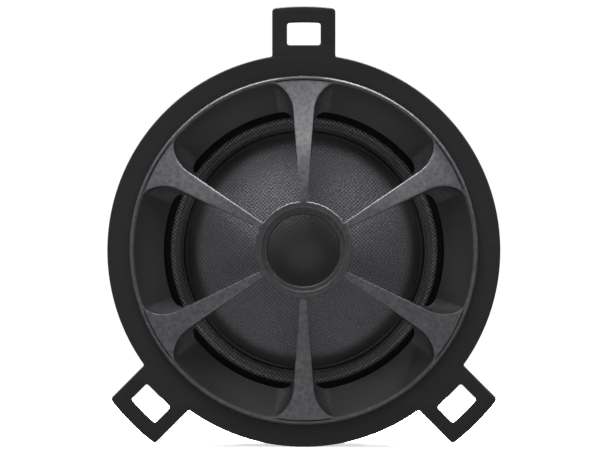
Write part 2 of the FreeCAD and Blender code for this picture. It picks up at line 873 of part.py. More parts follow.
def make_rear_housing():
    """Closed rear chamber with a screw flange, a seal rebate and two channels for the jumpers."""
    body = new_body("rear_housing")
    top = D["carrier_top_level"] - D["carrier_thickness"]
    under = top - D["housing_flange_thickness"]
    rear = D["housing_rear_level"]
    floor = rear + D["housing_floor"]
    magnet_floor = top - D["pole_thickness"] - D["magnet_thickness"]
    ledge = magnet_floor - D["cup_floor_thickness"]
    section = new_sketch(body, "HousingSection")
    draw_outline(
        section,
        [
            (0.0, rear),
            (D["housing_radius"], rear),
            (D["housing_radius"], under),
            (D["carrier_radius"], under),
            (D["carrier_radius"], top - D["seal_thickness"]),
            (D["seal_rebate_radius"], top - D["seal_thickness"]),
            (D["seal_rebate_radius"], top),
            (D["housing_bore"], top),
            (D["housing_bore"], ledge),
            (D["housing_ledge"], ledge),
            (D["housing_ledge"], floor),
            (0.0, floor),
        ],
    )
    turn(body, section, name="Chamber")
    cut_screw_holes(body, under, D["housing_flange_thickness"])
    channel = new_sketch(body, "ChannelOutline", "XY_Plane", floor)
    half = D["channel_half_width"]
    draw_rectangle(channel, (D["channel_inner"], -half), (D["channel_outer"], half))
    channel_cut = pocket(body, channel, top - floor, name="Channel")
    repeat(body, [channel_cut], EYELET_COUNT, "Channels")
    slot = new_sketch(body, "FlangeSlotOutline", "XY_Plane", top - D["flange_slot_depth"])
    half = D["flange_slot_half_width"]
    draw_rectangle(slot, (D["flange_slot_start"], -half), (D["flange_slot_end"], half))
    slot_cut = pocket(body, slot, D["flange_slot_depth"], name="FlangeSlot")
    repeat(body, [slot_cut], EYELET_COUNT, "FlangeSlots")
    cut_rivet_holes(body, rear, D["housing_floor"])
    return body


def cut_rivet_holes(body, level, length, places=(-1, 0, 1)):
    """Holes for the terminal rivets; places are -1, 0 and 1 spacings along X."""
    for place in places:
        outline = new_sketch(body, "RivetHole", "XY_Plane", level)
        radius = D["rivet_radius"] + D["running_gap"]
        draw_circle(outline, (D["terminal_spacing"] * place, 0.0), radius)
        pocket(body, outline, length, name="RivetHole")


def make_housing_screws():
    """Three identical pan-head screws, driven forward through the housing into the grille's bosses."""
    body = new_body("housing_screws")
    seat = D["carrier_top_level"] - D["carrier_thickness"] - D["housing_flange_thickness"]
    head_back = seat - D["screw_head_height"]
    angle = SCREW_FIRST_ANGLE
    place = (D["screw_distance"], 0.0)
    head = new_sketch(body, "HeadOutline", "XY_Plane", head_back, angle)
    draw_circle(head, place, D["screw_head"])
    shank = new_sketch(body, "ShankOutline", "XY_Plane", seat, angle)
    draw_circle(shank, place, D["screw_shank"])
    solids = [
        pad(body, head, D["screw_head_height"], name="Head"),
        pad(body, shank, D["screw_tip_level"] - seat, name="Shank"),
    ]
    long, wide = D["recess_half_length"], D["recess_half_width"]
    for name, across, up in (("RecessAcross", long, wide), ("RecessUp", wide, long)):
        outline = new_sketch(body, name, "XY_Plane", head_back, angle)
        low = (D["screw_distance"] - across, -up)
        high = (D["screw_distance"] + across, up)
        draw_rectangle(outline, low, high)
        solids.append(pocket(body, outline, D["recess_depth"], name=name))
    repeat(body, solids, SCREW_COUNT, "Screws")
    return body


def make_terminal_board():
    """Rectangular laminate board with three rivet holes."""
    body = new_body("terminal_board")
    level = D["housing_rear_level"] - D["board_thickness"]
    outline = new_sketch(body, "BoardOutline", "XY_Plane", level)
    across, up, corner = D["board_half_length"], D["board_half_height"], D["board_corner"]
    draw_outline(
        outline,
        [
            (-across + corner, -up),
            (across - corner, -up),
            (across, -up + corner),
            (across, up - corner),
            (across - corner, up),
            (-across + corner, up),
            (-across, up - corner),
            (-across, -up + corner),
        ],
        {side: Bend(corner, 1) for side in (1, 3, 5, 7)},
    )
    pad(body, outline, D["board_thickness"], name="Board")
    cut_rivet_holes(body, level, D["board_thickness"])
    return body


def make_terminal(label, place, width, hole):
    """An L-shaped blade: its foot is riveted to the board and its blade points to the rear."""
    body = new_body(label)
    board = D["housing_rear_level"] - D["board_thickness"]
    thick = D["terminal_thickness"]
    under = board - thick
    tip = under - D["blade_length"]
    back = D["blade_back"]
    outer, inner = D["blade_outer_bend"], D["blade_inner_bend"]
    section = new_sketch(body, "BladeSection", "YZ_Plane", D["terminal_spacing"] * place)
    draw_outline(
        section,
        [
            (D["foot_front"], under),
            (back - outer, under),
            (back - thick, under - inner),
            (back - thick, tip),
            (back, tip),
            (back, board - outer),
            (back - outer, board),
            (D["foot_front"], board),
        ],
        {1: Bend(inner, -1), 5: Bend(outer, 1)},
    )
    blade = pad(body, section, width, midplane=True, name="Blade")
    corners = edges_where(
        blade,
        lambda start, end: max(start.z, end.z) < tip.value + 0.01 and abs(start.x - end.x) < 1e-6,
    )
    dress(body, "PartDesign::Chamfer", blade, corners, D["blade_tip_chamfer"], "Tip")
    cut_rivet_holes(body, under, thick, places=(place,))
    eye = new_sketch(body, "BladeHole", "XZ_Plane", -back)
    draw_circle(eye, (D["terminal_spacing"] * place, tip + D["blade_hole_distance"]), hole)
    pocket(body, eye, thick, name="BladeHole")
    return body


def make_junction_lug():
    """Round solder lug on the middle rivet, where the capacitor meets the coil's lead."""
    body = new_body("junction_lug")
    level = D["housing_rear_level"] - D["board_thickness"] - D["terminal_thickness"]
    outline = new_sketch(body, "LugOutline", "XY_Plane", level)
    draw_circle(outline, (0.0, 0.0), D["lug_radius"])
    draw_circle(outline, (0.0, 0.0), D["rivet_radius"] + D["running_gap"])
    pad(body, outline, D["terminal_thickness"], name="Lug")
    return body


def make_terminal_rivets():
    """Three identical rivets through the feet or the lug, the board and the housing's floor."""
    body = new_body("terminal_rivets")
    head = D["rivet_head_thickness"]
    inside = D["housing_rear_level"] + D["housing_floor"]
    outside = D["housing_rear_level"] - D["board_thickness"] - D["terminal_thickness"]
    levels = (
        (D["rivet_head_radius"], outside - head, head),
        (D["rivet_radius"], outside, inside - outside),
        (D["rivet_head_radius"], inside, head),
    )
    for place in (-1, 0, 1):
        for radius, level, length in levels:
            outline = new_sketch(body, "RivetOutline", "XY_Plane", level)
            draw_circle(outline, (D["terminal_spacing"] * place, 0.0), radius)
            pad(body, outline, length, name="Rivet")
    return body


def make_jumper(label, side, end):
    """An insulated wire from an eyelet, down its channel, to a rivet; side is +1 or -1 along X."""
    sign = as_size(side)
    front, rear = D["jumper_front_level"], D["jumper_rear_level"]
    points = [
        (D["jumper_start"] * sign, 0.0, front),
        (D["jumper_distance"] * sign, 0.0, front),
        (D["jumper_distance"] * sign, 0.0, rear),
        (end, 0.0, rear),
    ]
    return make_wires(label, [make_tube(label, points, D["jumper_radius"], D["jumper_bend"])])


def make_capacitor():
    """Bipolar capacitor with a crimped can, lying across the rear of the housing."""
    body = new_body("highpass_capacitor")
    half, radius, edge = D["capacitor_half_length"], D["capacitor_radius"], D["capacitor_edge"]
    crimp, wide = D["crimp_position"], D["crimp_half_width"]
    shift = (0.0, D["capacitor_height"])
    section = new_sketch(body, "CanSection", "XY_Plane", D["capacitor_level"], shift=shift)
    draw_outline(
        section,
        [
            (-half, 0.0),
            (half, 0.0),
            (half, radius - edge),
            (half - edge, radius),
            (crimp + wide, radius),
            (crimp, radius - D["crimp_depth"]),
            (crimp - wide, radius),
            (-half + edge, radius),
            (-half, radius - edge),
        ],
        {2: Bend(edge, 1), 7: Bend(edge, 1)},
    )
    turn(body, section, "H_Axis", "Can")
    return body


def make_capacitor_leads():
    """The capacitor's two leads, to the positive terminal and to the middle rivet."""
    level, height = D["capacitor_level"], D["capacitor_height"]
    half, turned = D["capacitor_half_length"], D["lead_turn"]
    routes = (
        [
            (half, height, level),
            (turned, height, level),
            (turned, 0.0, level),
            (D["terminal_spacing"], 0.0, level),
        ],
        [
            (-half, height, level),
            (-turned, height, level),
            (-turned, D["lead_pass"], level),
            (0.0, D["lead_pass"], level),
            (0.0, 0.0, level),
        ],
    )
    tubes = [make_tube("capacitor_leads", r, D["lead_radius"], D["lead_bend"]) for r in routes]
    return make_wires("capacitor_leads", tubes)


def add_primitive(kind, name, sizes, place):
    """A Part primitive with its sizes and its place tied to the spreadsheet."""
    solid = document.addObject(kind, name)
    for what, size in sizes.items():
        size = as_size(size)
        setattr(solid, what, size.value)
        solid.setExpression(what, size.formula)
    for axis, size in zip("xyz", place):
        solid.setExpression(f"Placement.Base.{axis}", as_size(size).formula)
    return solid


def make_capacitor_glue():
    """Bead of adhesive between the capacitor and the housing."""
    rear, height = D["housing_rear_level"], D["capacitor_height"]
    across, up, thick = D["glue_half_width"], D["glue_half_height"], D["glue_thickness"]
    bead = add_primitive(
        "Part::Ellipsoid",
        "GlueBead",
        {"Radius1": thick, "Radius2": across, "Radius3": up},
        (0.0, height, rear),
    )
    bead.Angle1 = -90
    bead.Angle2 = 0
    can = add_primitive(
        "Part::Cylinder",
        "GlueCanSpace",
        {"Radius": D["capacitor_radius"], "Height": D["capacitor_half_length"] * 2},
        (-D["capacitor_half_length"], height, D["capacitor_level"]),
    )
    can.Placement.Rotation = FreeCAD.Rotation(FreeCAD.Vector(0, 1, 0), 90)
    glue = document.addObject("Part::Cut", "capacitor_glue")
    glue.Label = "capacitor_glue"
    glue.Base = bead
    glue.Tool = can
    glue.Placement = UPRIGHT
    return glue


def make_solder_joints():
    """Solder at the eyelets, on the inner rivet heads and at the capacitor's leads."""
    outside = D["housing_rear_level"] - D["board_thickness"] - D["terminal_thickness"]
    outer_head = outside - D["rivet_head_thickness"]
    inner_head = D["housing_rear_level"] + D["housing_floor"] + D["rivet_head_thickness"]
    eyelet = D["carrier_top_level"] - D["carrier_thickness"] - D["eyelet_head_thickness"]
    joints = []
    for place in (0, 1):
        sizes = {
            "Radius1": D["solder_tip_radius"],
            "Radius2": D["solder_radius"],
            "Height": D["solder_height"],
        }
        where = (D["terminal_spacing"] * place, 0.0, outer_head - D["solder_height"])
        joints.append(add_primitive("Part::Cone", "OuterSolder", sizes, where))
    for place in (-1, 0):
        height = D["jumper_rear_level"] - inner_head
        sizes = {"Radius": D["pad_solder_radius"], "Height": height}
        where = (D["terminal_spacing"] * place, 0.0, inner_head)
        joints.append(add_primitive("Part::Cylinder", "InnerSolder", sizes, where))
    for side in (-1, 1):
        height = eyelet - D["jumper_front_level"]
        sizes = {"Radius": D["pad_solder_radius"], "Height": height}
        where = (D["eyelet_distance"] * side, 0.0, D["jumper_front_level"])
        joints.append(add_primitive("Part::Cylinder", "EyeletSolder", sizes, where))
    group = document.addObject("Part::Compound", "solder_joints")
    group.Label = "solder_joints"
    group.Links = joints
    group.Placement = UPRIGHT
    return group


def make_blank_label():
    """Plain label on the rear of the housing."""
    body = new_body("blank_label")
    level = D["housing_rear_level"] - D["label_thickness"]
    outline = new_sketch(body, "LabelOutline", "XY_Plane", level)
    across = D["label_half_width"]
    draw_rectangle(outline, (-across, D["label_low"]), (across, D["label_high"]))
    pad(body, outline, D["label_thickness"], name="Label")
    return body


def make_rings():
    """The plain rings outside the motor: gasket, wadding and seal."""
    carrier_bottom = D["carrier_top_level"] - D["carrier_thickness"]
    lip_top = D["carrier_top_level"] + D["surround_thickness"]
    gap = D["running_gap"]
    return [
        make_ring(
            "diaphragm_gasket", D["gasket_bore"], D["lip_radius"], lip_top, D["throat_end_level"]
        ),
        make_ring(
            "chamber_wadding",
            0.0,
            D["wadding_radius"],
            D["wadding_rear_level"],
            D["wadding_front_level"],
        ),
        make_ring(
            "housing_seal",
            D["seal_rebate_radius"] + gap,
            D["carrier_radius"] - gap,
            carrier_bottom - D["seal_thickness"],
            carrier_bottom,
        ),
    ]


def make_all():
    """Every sub-part of the tweeter, from the front to the rear."""
    pieces = [make_mounting_bracket(), make_front_grille(), make_dome(), make_surround()]
    pieces += [make_diaphragm_ring(), make_lead_eyelets()]
    pieces += [make_lead("lead_positive", 1), make_lead("lead_negative", -1)]
    pieces += make_rings()
    pieces += make_motor()
    pieces += [make_rear_housing(), make_housing_screws(), make_terminal_board()]
    pieces += [
        make_terminal("terminal_positive", 1, D["wide_blade_width"], D["wide_blade_hole"]),
        make_terminal("terminal_negative", -1, D["narrow_blade_width"], D["narrow_blade_hole"]),
    ]
    pieces += [make_junction_lug(), make_terminal_rivets()]
    pieces += [
        make_jumper("jumper_positive", 1, 0.0),
        make_jumper("jumper_negative", -1, -D["terminal_spacing"]),
    ]
    pieces += [make_capacitor(), make_capacitor_leads(), make_capacitor_glue()]
    pieces += [make_solder_joints(), make_blank_label()]
    return pieces


def check(pieces):
    """Stops if any object of the document failed or any sub-part isn't a valid solid."""
    for item in document.Objects:
        if "Invalid" in item.State or "Error" in item.State:
            raise RuntimeError(f"{item.Label} failed: {item.State}")
    for piece in pieces:
        shape = piece.Shape
        if shape.isNull() or not shape.isValid() or not shape.Solids:
            raise RuntimeError(f"{piece.Label} has no valid solid")


def export(pieces):
    """Writes one STEP file for each sub-part, named by its label."""
    os.makedirs("parts", exist_ok=True)
    for piece in pieces:
        piece.Shape.exportStep(f"parts/{piece.Label}.step")
        solids = len(piece.Shape.Solids)
        print(f"{piece.Label}: {solids} solid(s), {piece.Shape.Volume:.3f} mm3")


pieces = make_all()
document.recompute()
check(pieces)
export(pieces)
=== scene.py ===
"""A one-inch soft-dome car tweeter in a three-tab mounting bracket.

Every piece is drawn about the driver's own axis in millimetres: x to the right, y up and z forward,
out of the grille, with z = 0 on the rear face of the mounting flange. `stand_up` turns those points into
the row frame, in metres, where the grille faces -Y and the single tab is on top.
"""

import logging
import math
from dataclasses import dataclass
from enum import Enum
from typing import Sequence

import bmesh
import bpy
import numpy as np
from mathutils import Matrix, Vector
from mathutils.geometry import tessellate_polygon

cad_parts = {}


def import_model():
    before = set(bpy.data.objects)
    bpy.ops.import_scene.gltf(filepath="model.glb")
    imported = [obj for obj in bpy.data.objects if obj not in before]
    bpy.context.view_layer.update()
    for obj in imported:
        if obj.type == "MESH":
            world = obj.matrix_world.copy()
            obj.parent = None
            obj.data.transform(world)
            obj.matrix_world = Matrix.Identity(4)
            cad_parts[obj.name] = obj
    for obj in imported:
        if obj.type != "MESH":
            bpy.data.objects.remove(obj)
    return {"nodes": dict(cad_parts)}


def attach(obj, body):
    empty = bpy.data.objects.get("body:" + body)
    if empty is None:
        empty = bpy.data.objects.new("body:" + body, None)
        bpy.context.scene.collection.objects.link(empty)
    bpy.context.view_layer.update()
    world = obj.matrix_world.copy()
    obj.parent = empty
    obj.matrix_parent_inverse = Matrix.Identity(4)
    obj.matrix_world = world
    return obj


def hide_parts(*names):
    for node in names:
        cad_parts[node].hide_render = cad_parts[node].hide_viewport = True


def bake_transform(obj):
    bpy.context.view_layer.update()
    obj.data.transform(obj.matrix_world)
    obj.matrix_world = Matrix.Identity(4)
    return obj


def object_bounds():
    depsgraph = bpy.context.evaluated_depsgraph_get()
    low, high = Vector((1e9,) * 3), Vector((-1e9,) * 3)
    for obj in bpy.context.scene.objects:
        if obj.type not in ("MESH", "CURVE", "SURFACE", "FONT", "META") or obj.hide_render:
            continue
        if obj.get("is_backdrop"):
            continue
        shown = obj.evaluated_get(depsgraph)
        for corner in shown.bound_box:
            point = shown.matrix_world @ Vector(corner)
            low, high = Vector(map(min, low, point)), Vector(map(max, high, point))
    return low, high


LOG = logging.getLogger("car_tweeter")
MM = 0.001
CHASSIS = "chassis"
DIAPHRAGM = "diaphragm"
WELD_DISTANCE = 0.0015 * MM

# Places of the three screws and of the grille's bosses that take them: angles in degrees, distance in mm.
SCREW_ANGLES = (30.0, 150.0, 270.0)
SCREW_DISTANCE = 17.6

# Points on the edges that the grille's sheets share, so that they weld.
HUB_POINTS = 20
LINE_POINTS = 33
BEND_POINTS = 20
SIDE_POINTS = LINE_POINTS + BEND_POINTS
OUTER_POINTS = 62
SPOKE_COLUMNS = 17

Socket = bpy.types.NodeSocket
Material = bpy.types.Material
Tree = bpy.types.NodeTree
Node = bpy.types.Node
Piece = bpy.types.Object
Points = np.ndarray


# ---------------------------------------------------------------- points and meshes


def stand_up(points: Points) -> Points:
    """Turns drawn points into the row frame: (x, y, z) in mm goes to (x, -z, y) in metres."""
    return np.stack((points[..., 0], -points[..., 2], points[..., 1]), axis=-1) * MM


def turned(points: Points, angle: float) -> Points:
    """Turns drawn points about the driver's axis.

    Args:
        points: Array whose last axis is x, y and perhaps z.
        angle: Turn in degrees, anticlockwise as seen from the front.

    Returns:
        The points after x' = x cos - y sin and y' = x sin + y cos.
    """
    c, s = math.cos(math.radians(angle)), math.sin(math.radians(angle))
    result = points.copy()
    result[..., 0] = points[..., 0] * c - points[..., 1] * s
    result[..., 1] = points[..., 0] * s + points[..., 1] * c
    return result


def polar(radius: Points, angle: Points, level: Points) -> Points:
    """Points at (radius cos angle, radius sin angle, level), broadcast together; angles in radians."""
    radius, angle, level = np.broadcast_arrays(radius, angle, level)
    return np.stack((radius * np.cos(angle), radius * np.sin(angle), level), axis=-1)


def around(steps: int) -> Points:
    """Angles in radians that share a full turn equally."""
    return np.linspace(0.0, 2.0 * math.pi, steps, endpoint=False)


def off_axis(points: Points) -> Points:
    """Distance of drawn points from the driver's axis."""
    return np.hypot(points[..., 0], points[..., 1])


def ease(value: Points) -> Points:
    """Smooth step: 0 below 0, 1 above 1 and 3t^2 - 2t^3 between."""
    t = np.clip(value, 0.0, 1.0)
    return t * t * (3.0 - 2.0 * t)


def unit(vectors: Points) -> Points:
    """Each vector divided by its length."""
    return vectors / np.linalg.norm(vectors, axis=-1, keepdims=True)


def arc_between(start: Sequence[float], end: Sequence[float], radius: float, steps: int) -> Points:
    """Samples the arc that leaves start for end and has its centre on the left.

    The centre stands off the middle of the chord by the square root of radius^2 - (chord / 2)^2.

    Args:
        start: First point, x and y.
        end: Last point, x and y.
        radius: Radius of the arc.
        steps: Number of points, both ends included.

    Returns:
        Array of steps points.
    """
    a, b = np.array(start, float), np.array(end, float)
    chord = b - a
    half = np.linalg.norm(chord) / 2.0
    left = np.array((-chord[1], chord[0])) / (2.0 * half)
    centre = (a + b) / 2.0 + left * math.sqrt(radius**2 - half**2)
    first, last = (math.atan2(*(p - centre)[::-1]) for p in (a, b))
    angle = np.linspace(first, first + (last - first) % (2.0 * math.pi), steps)
    return centre + radius * np.stack((np.cos(angle), np.sin(angle)), axis=-1)


def rounded(corners: Sequence[Sequence[float]], steps: int = 5) -> Points:
    """Rounds the corners of a closed outline.

    With u and v the directions from a corner to its neighbours, m their bisector and h half the angle
    between them, the arc's centre is corner + m r / sin h, and its two ends lie from the centre along
    u / tan h - m / sin h and v / tan h - m / sin h. The arc turns evenly from the one to the other.

    Args:
        corners: Rows of x, y and corner radius.
        steps: Points on each corner.

    Returns:
        The outline's points, corner after corner.
    """
    table = np.array(corners, float)
    place, radius = table[:, :2], table[:, 2:3]
    u = unit(np.roll(place, 1, axis=0) - place)
    v = unit(np.roll(place, -1, axis=0) - place)
    half = np.arccos(np.clip((u * v).sum(-1, keepdims=True), -1.0, 1.0)) / 2.0
    middle = unit(u + v)
    centre = place + middle * radius / np.sin(half)
    first = u / np.tan(half) - middle / np.sin(half)
    last = v / np.tan(half) - middle / np.sin(half)
    swing = math.pi - 2.0 * half
    t = np.linspace(0.0, 1.0, steps)[None, :, None]
    swing = swing[:, :, None]
    mix = np.sin((1.0 - t) * swing) * first[:, None] + np.sin(t * swing) * last[:, None]
    points = centre[:, None] + radius[:, None] * mix / np.sin(swing)
    return points.reshape(-1, 2)


def offset_from(loop: Points) -> Points:
    """Mitred sideways directions of a closed loop.

    Each is the mean of the left-hand normals of the two sides that meet there, divided by its own squared
    length, so that a step along it keeps both sides parallel.
    """
    side = unit(np.roll(loop, -1, axis=0) - loop)
    left = np.stack((-side[:, 1], side[:, 0]), axis=-1)
    mean = (left + np.roll(left, 1, axis=0)) / 2.0
    return mean / (mean**2).sum(-1, keepdims=True)


class Shell:
    """Grids of drawn points that are welded into one closed mesh."""

    def __init__(self) -> None:
        """Starts with no points."""
        self.points: list[Points] = []
        self.faces: list[list[int]] = []
        self.count = 0

    def add(self, grid: Points, closed: bool = False) -> None:
        """Adds a sheet of four-sided faces over a grid of points.

        Args:
            grid: Array of rows, columns and x, y, z.
            closed: Whether the last column joins the first.
        """
        rows, columns = grid.shape[:2]
        index = np.arange(rows * columns).reshape(rows, columns) + self.count
        if closed:
            index = np.concatenate((index, index[:, :1]), axis=1)
        corners = (index[:-1, :-1], index[:-1, 1:], index[1:, 1:], index[1:, :-1])
        self.faces.extend(np.stack(corners, axis=-1).reshape(-1, 4).tolist())
        self.points.append(grid.reshape(-1, 3))
        self.count += rows * columns

    def fill(self, loops: Sequence[Points]) -> None:
        """Adds a flat face bounded by the first loop, with the other loops as holes in it."""
        flat = [[Vector((x, y, 0.0)) for x, y in loop[:, :2]] for loop in loops]
        start = self.count
        self.faces.extend([[i + start for i in face] for face in tessellate_polygon(flat)])
        self.points.extend(loops)
        self.count += sum(len(loop) for loop in loops)

    def revolve(self, profile: Points, steps: int, closed: bool = True) -> None:
        """Adds a profile of radius and level turned about the axis.

        Args:
            profile: Rows of radius and level.
            steps: Columns in a full turn.
            closed: Whether the profile's last point joins its first.
        """
        if closed:
            profile = np.concatenate((profile, profile[:1]))
        self.add(polar(profile[:, :1], around(steps), profile[:, 1:]), closed=True)

    def finish(self, name: str, crease: float = 40.0, stand: bool = True) -> Piece:
        """Welds the grids, turns the faces outwards and links the object.

        Args:
            name: Name of the object and its mesh.
            crease: Angle in degrees past which an edge is shaded sharp.
            stand: Whether the points still have to be stood up.

        Returns:
            The object, at the origin with its place in its mesh.
        """
        points = np.concatenate(self.points)
        points = stand_up(points) if stand else points
        mesh = bpy.data.meshes.new(name)
        mesh.from_pydata(points.tolist(), [], self.faces)
        work = bmesh.new()
        work.from_mesh(mesh)
        bmesh.ops.remove_doubles(work, verts=work.verts, dist=WELD_DISTANCE)
        bmesh.ops.dissolve_degenerate(work, edges=work.edges, dist=WELD_DISTANCE / 4.0)
        bmesh.ops.recalc_face_normals(work, faces=work.faces)
        if work.calc_volume(signed=True) < 0.0:
            bmesh.ops.reverse_faces(work, faces=work.faces)
        open_edges = sum(1 for edge in work.edges if not edge.is_manifold)
        work.to_mesh(mesh)
        work.free()
        mesh.polygons.foreach_set("use_smooth", np.ones(len(mesh.polygons), bool))
        mesh.set_sharp_from_angle(angle=math.radians(crease))
        piece = bpy.data.objects.new(name, mesh)
        bpy.context.scene.collection.objects.link(piece)
        LOG.info("%s: %d faces, %d open edges", name, len(mesh.polygons), open_edges)
        return piece


def drawn_points(piece: Piece) -> Points:
    """The vertices of a piece, back in the drawing's millimetres."""
    flat = np.zeros(len(piece.data.vertices) * 3)
    piece.data.vertices.foreach_get("co", flat)
    world = flat.reshape(-1, 3) / MM
    return np.stack((world[:, 0], world[:, 2], -world[:, 1]), axis=-1)


def paint(piece: Piece, attribute: str, values: Points) -> None:
    """Stores one number per vertex under that attribute's name, for a material to read."""
    layer = piece.data.attributes.new(attribute, "FLOAT", "POINT")
    layer.data.foreach_set("value", np.asarray(values, np.float32))


def keep_flats_flat(piece: Piece) -> None:
    """Weights the normals by face area, so that wide flat faces aren't shaded by the fillets round them."""
    modifier = piece.modifiers.new("FlatFaces", "WEIGHTED_NORMAL")
    modifier.keep_sharp = True


def settle(
    piece: Piece,
    finish: "Finish",
    replaces: Sequence[str],
    body: str | None = CHASSIS,
) -> None:
    """Dresses a finished piece and ties it to the frame.

    Args:
        piece: The object.
        finish: What it is made of.
        replaces: The CAD nodes that it stands for.
        body: The body it rides on, or None where it is tied to no body.
    """
    piece.data.materials.append(finish.material())
    if body is not None:
        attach(piece, body)
    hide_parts(*replaces)


# ---------------------------------------------------------------- finishes


def linear(tone: str) -> tuple[float, float, float, float]:
    """Turns an sRGB hex tone into linear red, green and blue, with alpha 1."""
    values = [int(tone[i : i + 2], 16) / 255.0 for i in (1, 3, 5)]
    straight = [v / 12.92 if v <= 0.04045 else ((v + 0.055) / 1.055) ** 2.4 for v in values]
    return (straight[0], straight[1], straight[2], 1.0)


def add(tree: Tree, kind: str, sockets: dict | None = None, **settings: object) -> Node:
    """Adds a shader node.

    Args:
        tree: The material's node tree.
        kind: Node type without its ShaderNode prefix.
        sockets: Input name or number to a value, or to an output socket that is linked to it.
        **settings: Properties of the node itself.

    Returns:
        The new node.
    """
    node = tree.nodes.new("ShaderNode" + kind)
    for key, value in settings.items():
        setattr(node, key, value)
    for key, value in (sockets or {}).items():
        if isinstance(value, Socket):
            tree.links.new(value, node.inputs[key])
        else:
            node.inputs[key].default_value = value
    return node


@dataclass(frozen=True)
class Finish:
    """A finish: its name, tone and gloss, and the pattern that `pattern` adds.

    Attributes:
        name: Material name, after the real material and how its surface was made.
        tone: sRGB hex of the surface's own colour.
        rough: Roughness of the surface.
        grain: Size of the finest mark in mm.
        depth: Height of those marks in mm.
        spread: How far the tone swings to each side of its mean, as a part of it.
    """

    name: str
    tone: str
    rough: float
    grain: float = 0.2
    depth: float = 0.01
    spread: float = 0.12

    def material(self) -> Material:
        """Makes the material, or returns it if it was made before."""
        made = bpy.data.materials.get(self.name)
        if made is not None:
            return made
        made = bpy.data.materials.new(self.name)
        made.use_nodes = True
        tree = made.node_tree
        tree.nodes.clear()
        settings = {"Base Color": linear(self.tone), "Roughness": self.rough}
        shader = add(tree, "BsdfPrincipled", settings)
        add(tree, "OutputMaterial", {"Surface": shader.outputs["BSDF"]})
        self.pattern(tree, shader)
        return made

    def pattern(self, tree: Tree, shader: Node) -> None:
        """Adds the plain moulded pattern: fine grain, a slow drift of tone and uneven gloss."""
        place = self.place(tree)
        fine = self.noise(tree, place, self.grain, 3.0)
        slow = self.noise(tree, place, self.grain * 30.0, 2.0)
        self.tint(tree, shader, self.mean(tree, fine, slow))
        self.gloss(tree, shader, slow, 0.06)
        self.bump(tree, shader, fine, self.depth)

    def place(self, tree: Tree) -> Socket:
        """The surface's own position, in metres, from the object's coordinates."""
        return add(tree, "TexCoord").outputs["Object"]

    def noise(self, tree: Tree, place: Socket, size: float, detail: float) -> Socket:
        """Cloudy noise whose marks are size mm across."""
        sockets = {"Vector": place, "Scale": 1.0 / (size * MM), "Detail": detail}
        return add(tree, "TexNoise", sockets).outputs["Fac"]

    def mean(self, tree: Tree, first: Socket, second: Socket) -> Socket:
        """Halfway between two patterns."""
        sockets = {"Factor": 0.5, "A": first, "B": second}
        return add(tree, "Mix", sockets, data_type="FLOAT").outputs["Result"]

    def span(self, tree: Tree, value: Socket, low: float, high: float) -> Socket:
        """Stretches a pattern's middle part, 0.3 to 0.7, over low to high."""
        sockets = {"Value": value, "From Min": 0.3, "From Max": 0.7, "To Min": low, "To Max": high}
        return add(tree, "MapRange", sockets).outputs["Result"]

    def tint(self, tree: Tree, shader: Node, value: Socket) -> Socket:
        """Lets the tone swing with a pattern, by spread to each side.

        Args:
            tree: The material's node tree.
            shader: The surface shader.
            value: The pattern.

        Returns:
            The colour that now feeds the shader.
        """
        gain = self.span(tree, value, 1.0 - self.spread, 1.0 + self.spread)
        colour = add(tree, "VectorMath", {0: linear(self.tone)[:3], "Scale": gain}, operation="SCALE")
        tree.links.new(colour.outputs["Vector"], shader.inputs["Base Color"])
        return colour.outputs["Vector"]

    def gloss(self, tree: Tree, shader: Node, value: Socket, swing: float) -> None:
        """Lets the roughness swing with a pattern, by that much to each side."""
        rough = self.span(tree, value, self.rough - swing, self.rough + swing)
        tree.links.new(rough, shader.inputs["Roughness"])

    def bump(self, tree: Tree, shader: Node, height: Socket, depth: float) -> None:
        """Raises the surface by a pattern whose full height is depth mm."""
        sockets = {"Height": height, "Distance": depth * MM, "Strength": 1.0}
        node = add(tree, "Bump", sockets)
        tree.links.new(node.outputs["Normal"], shader.inputs["Normal"])


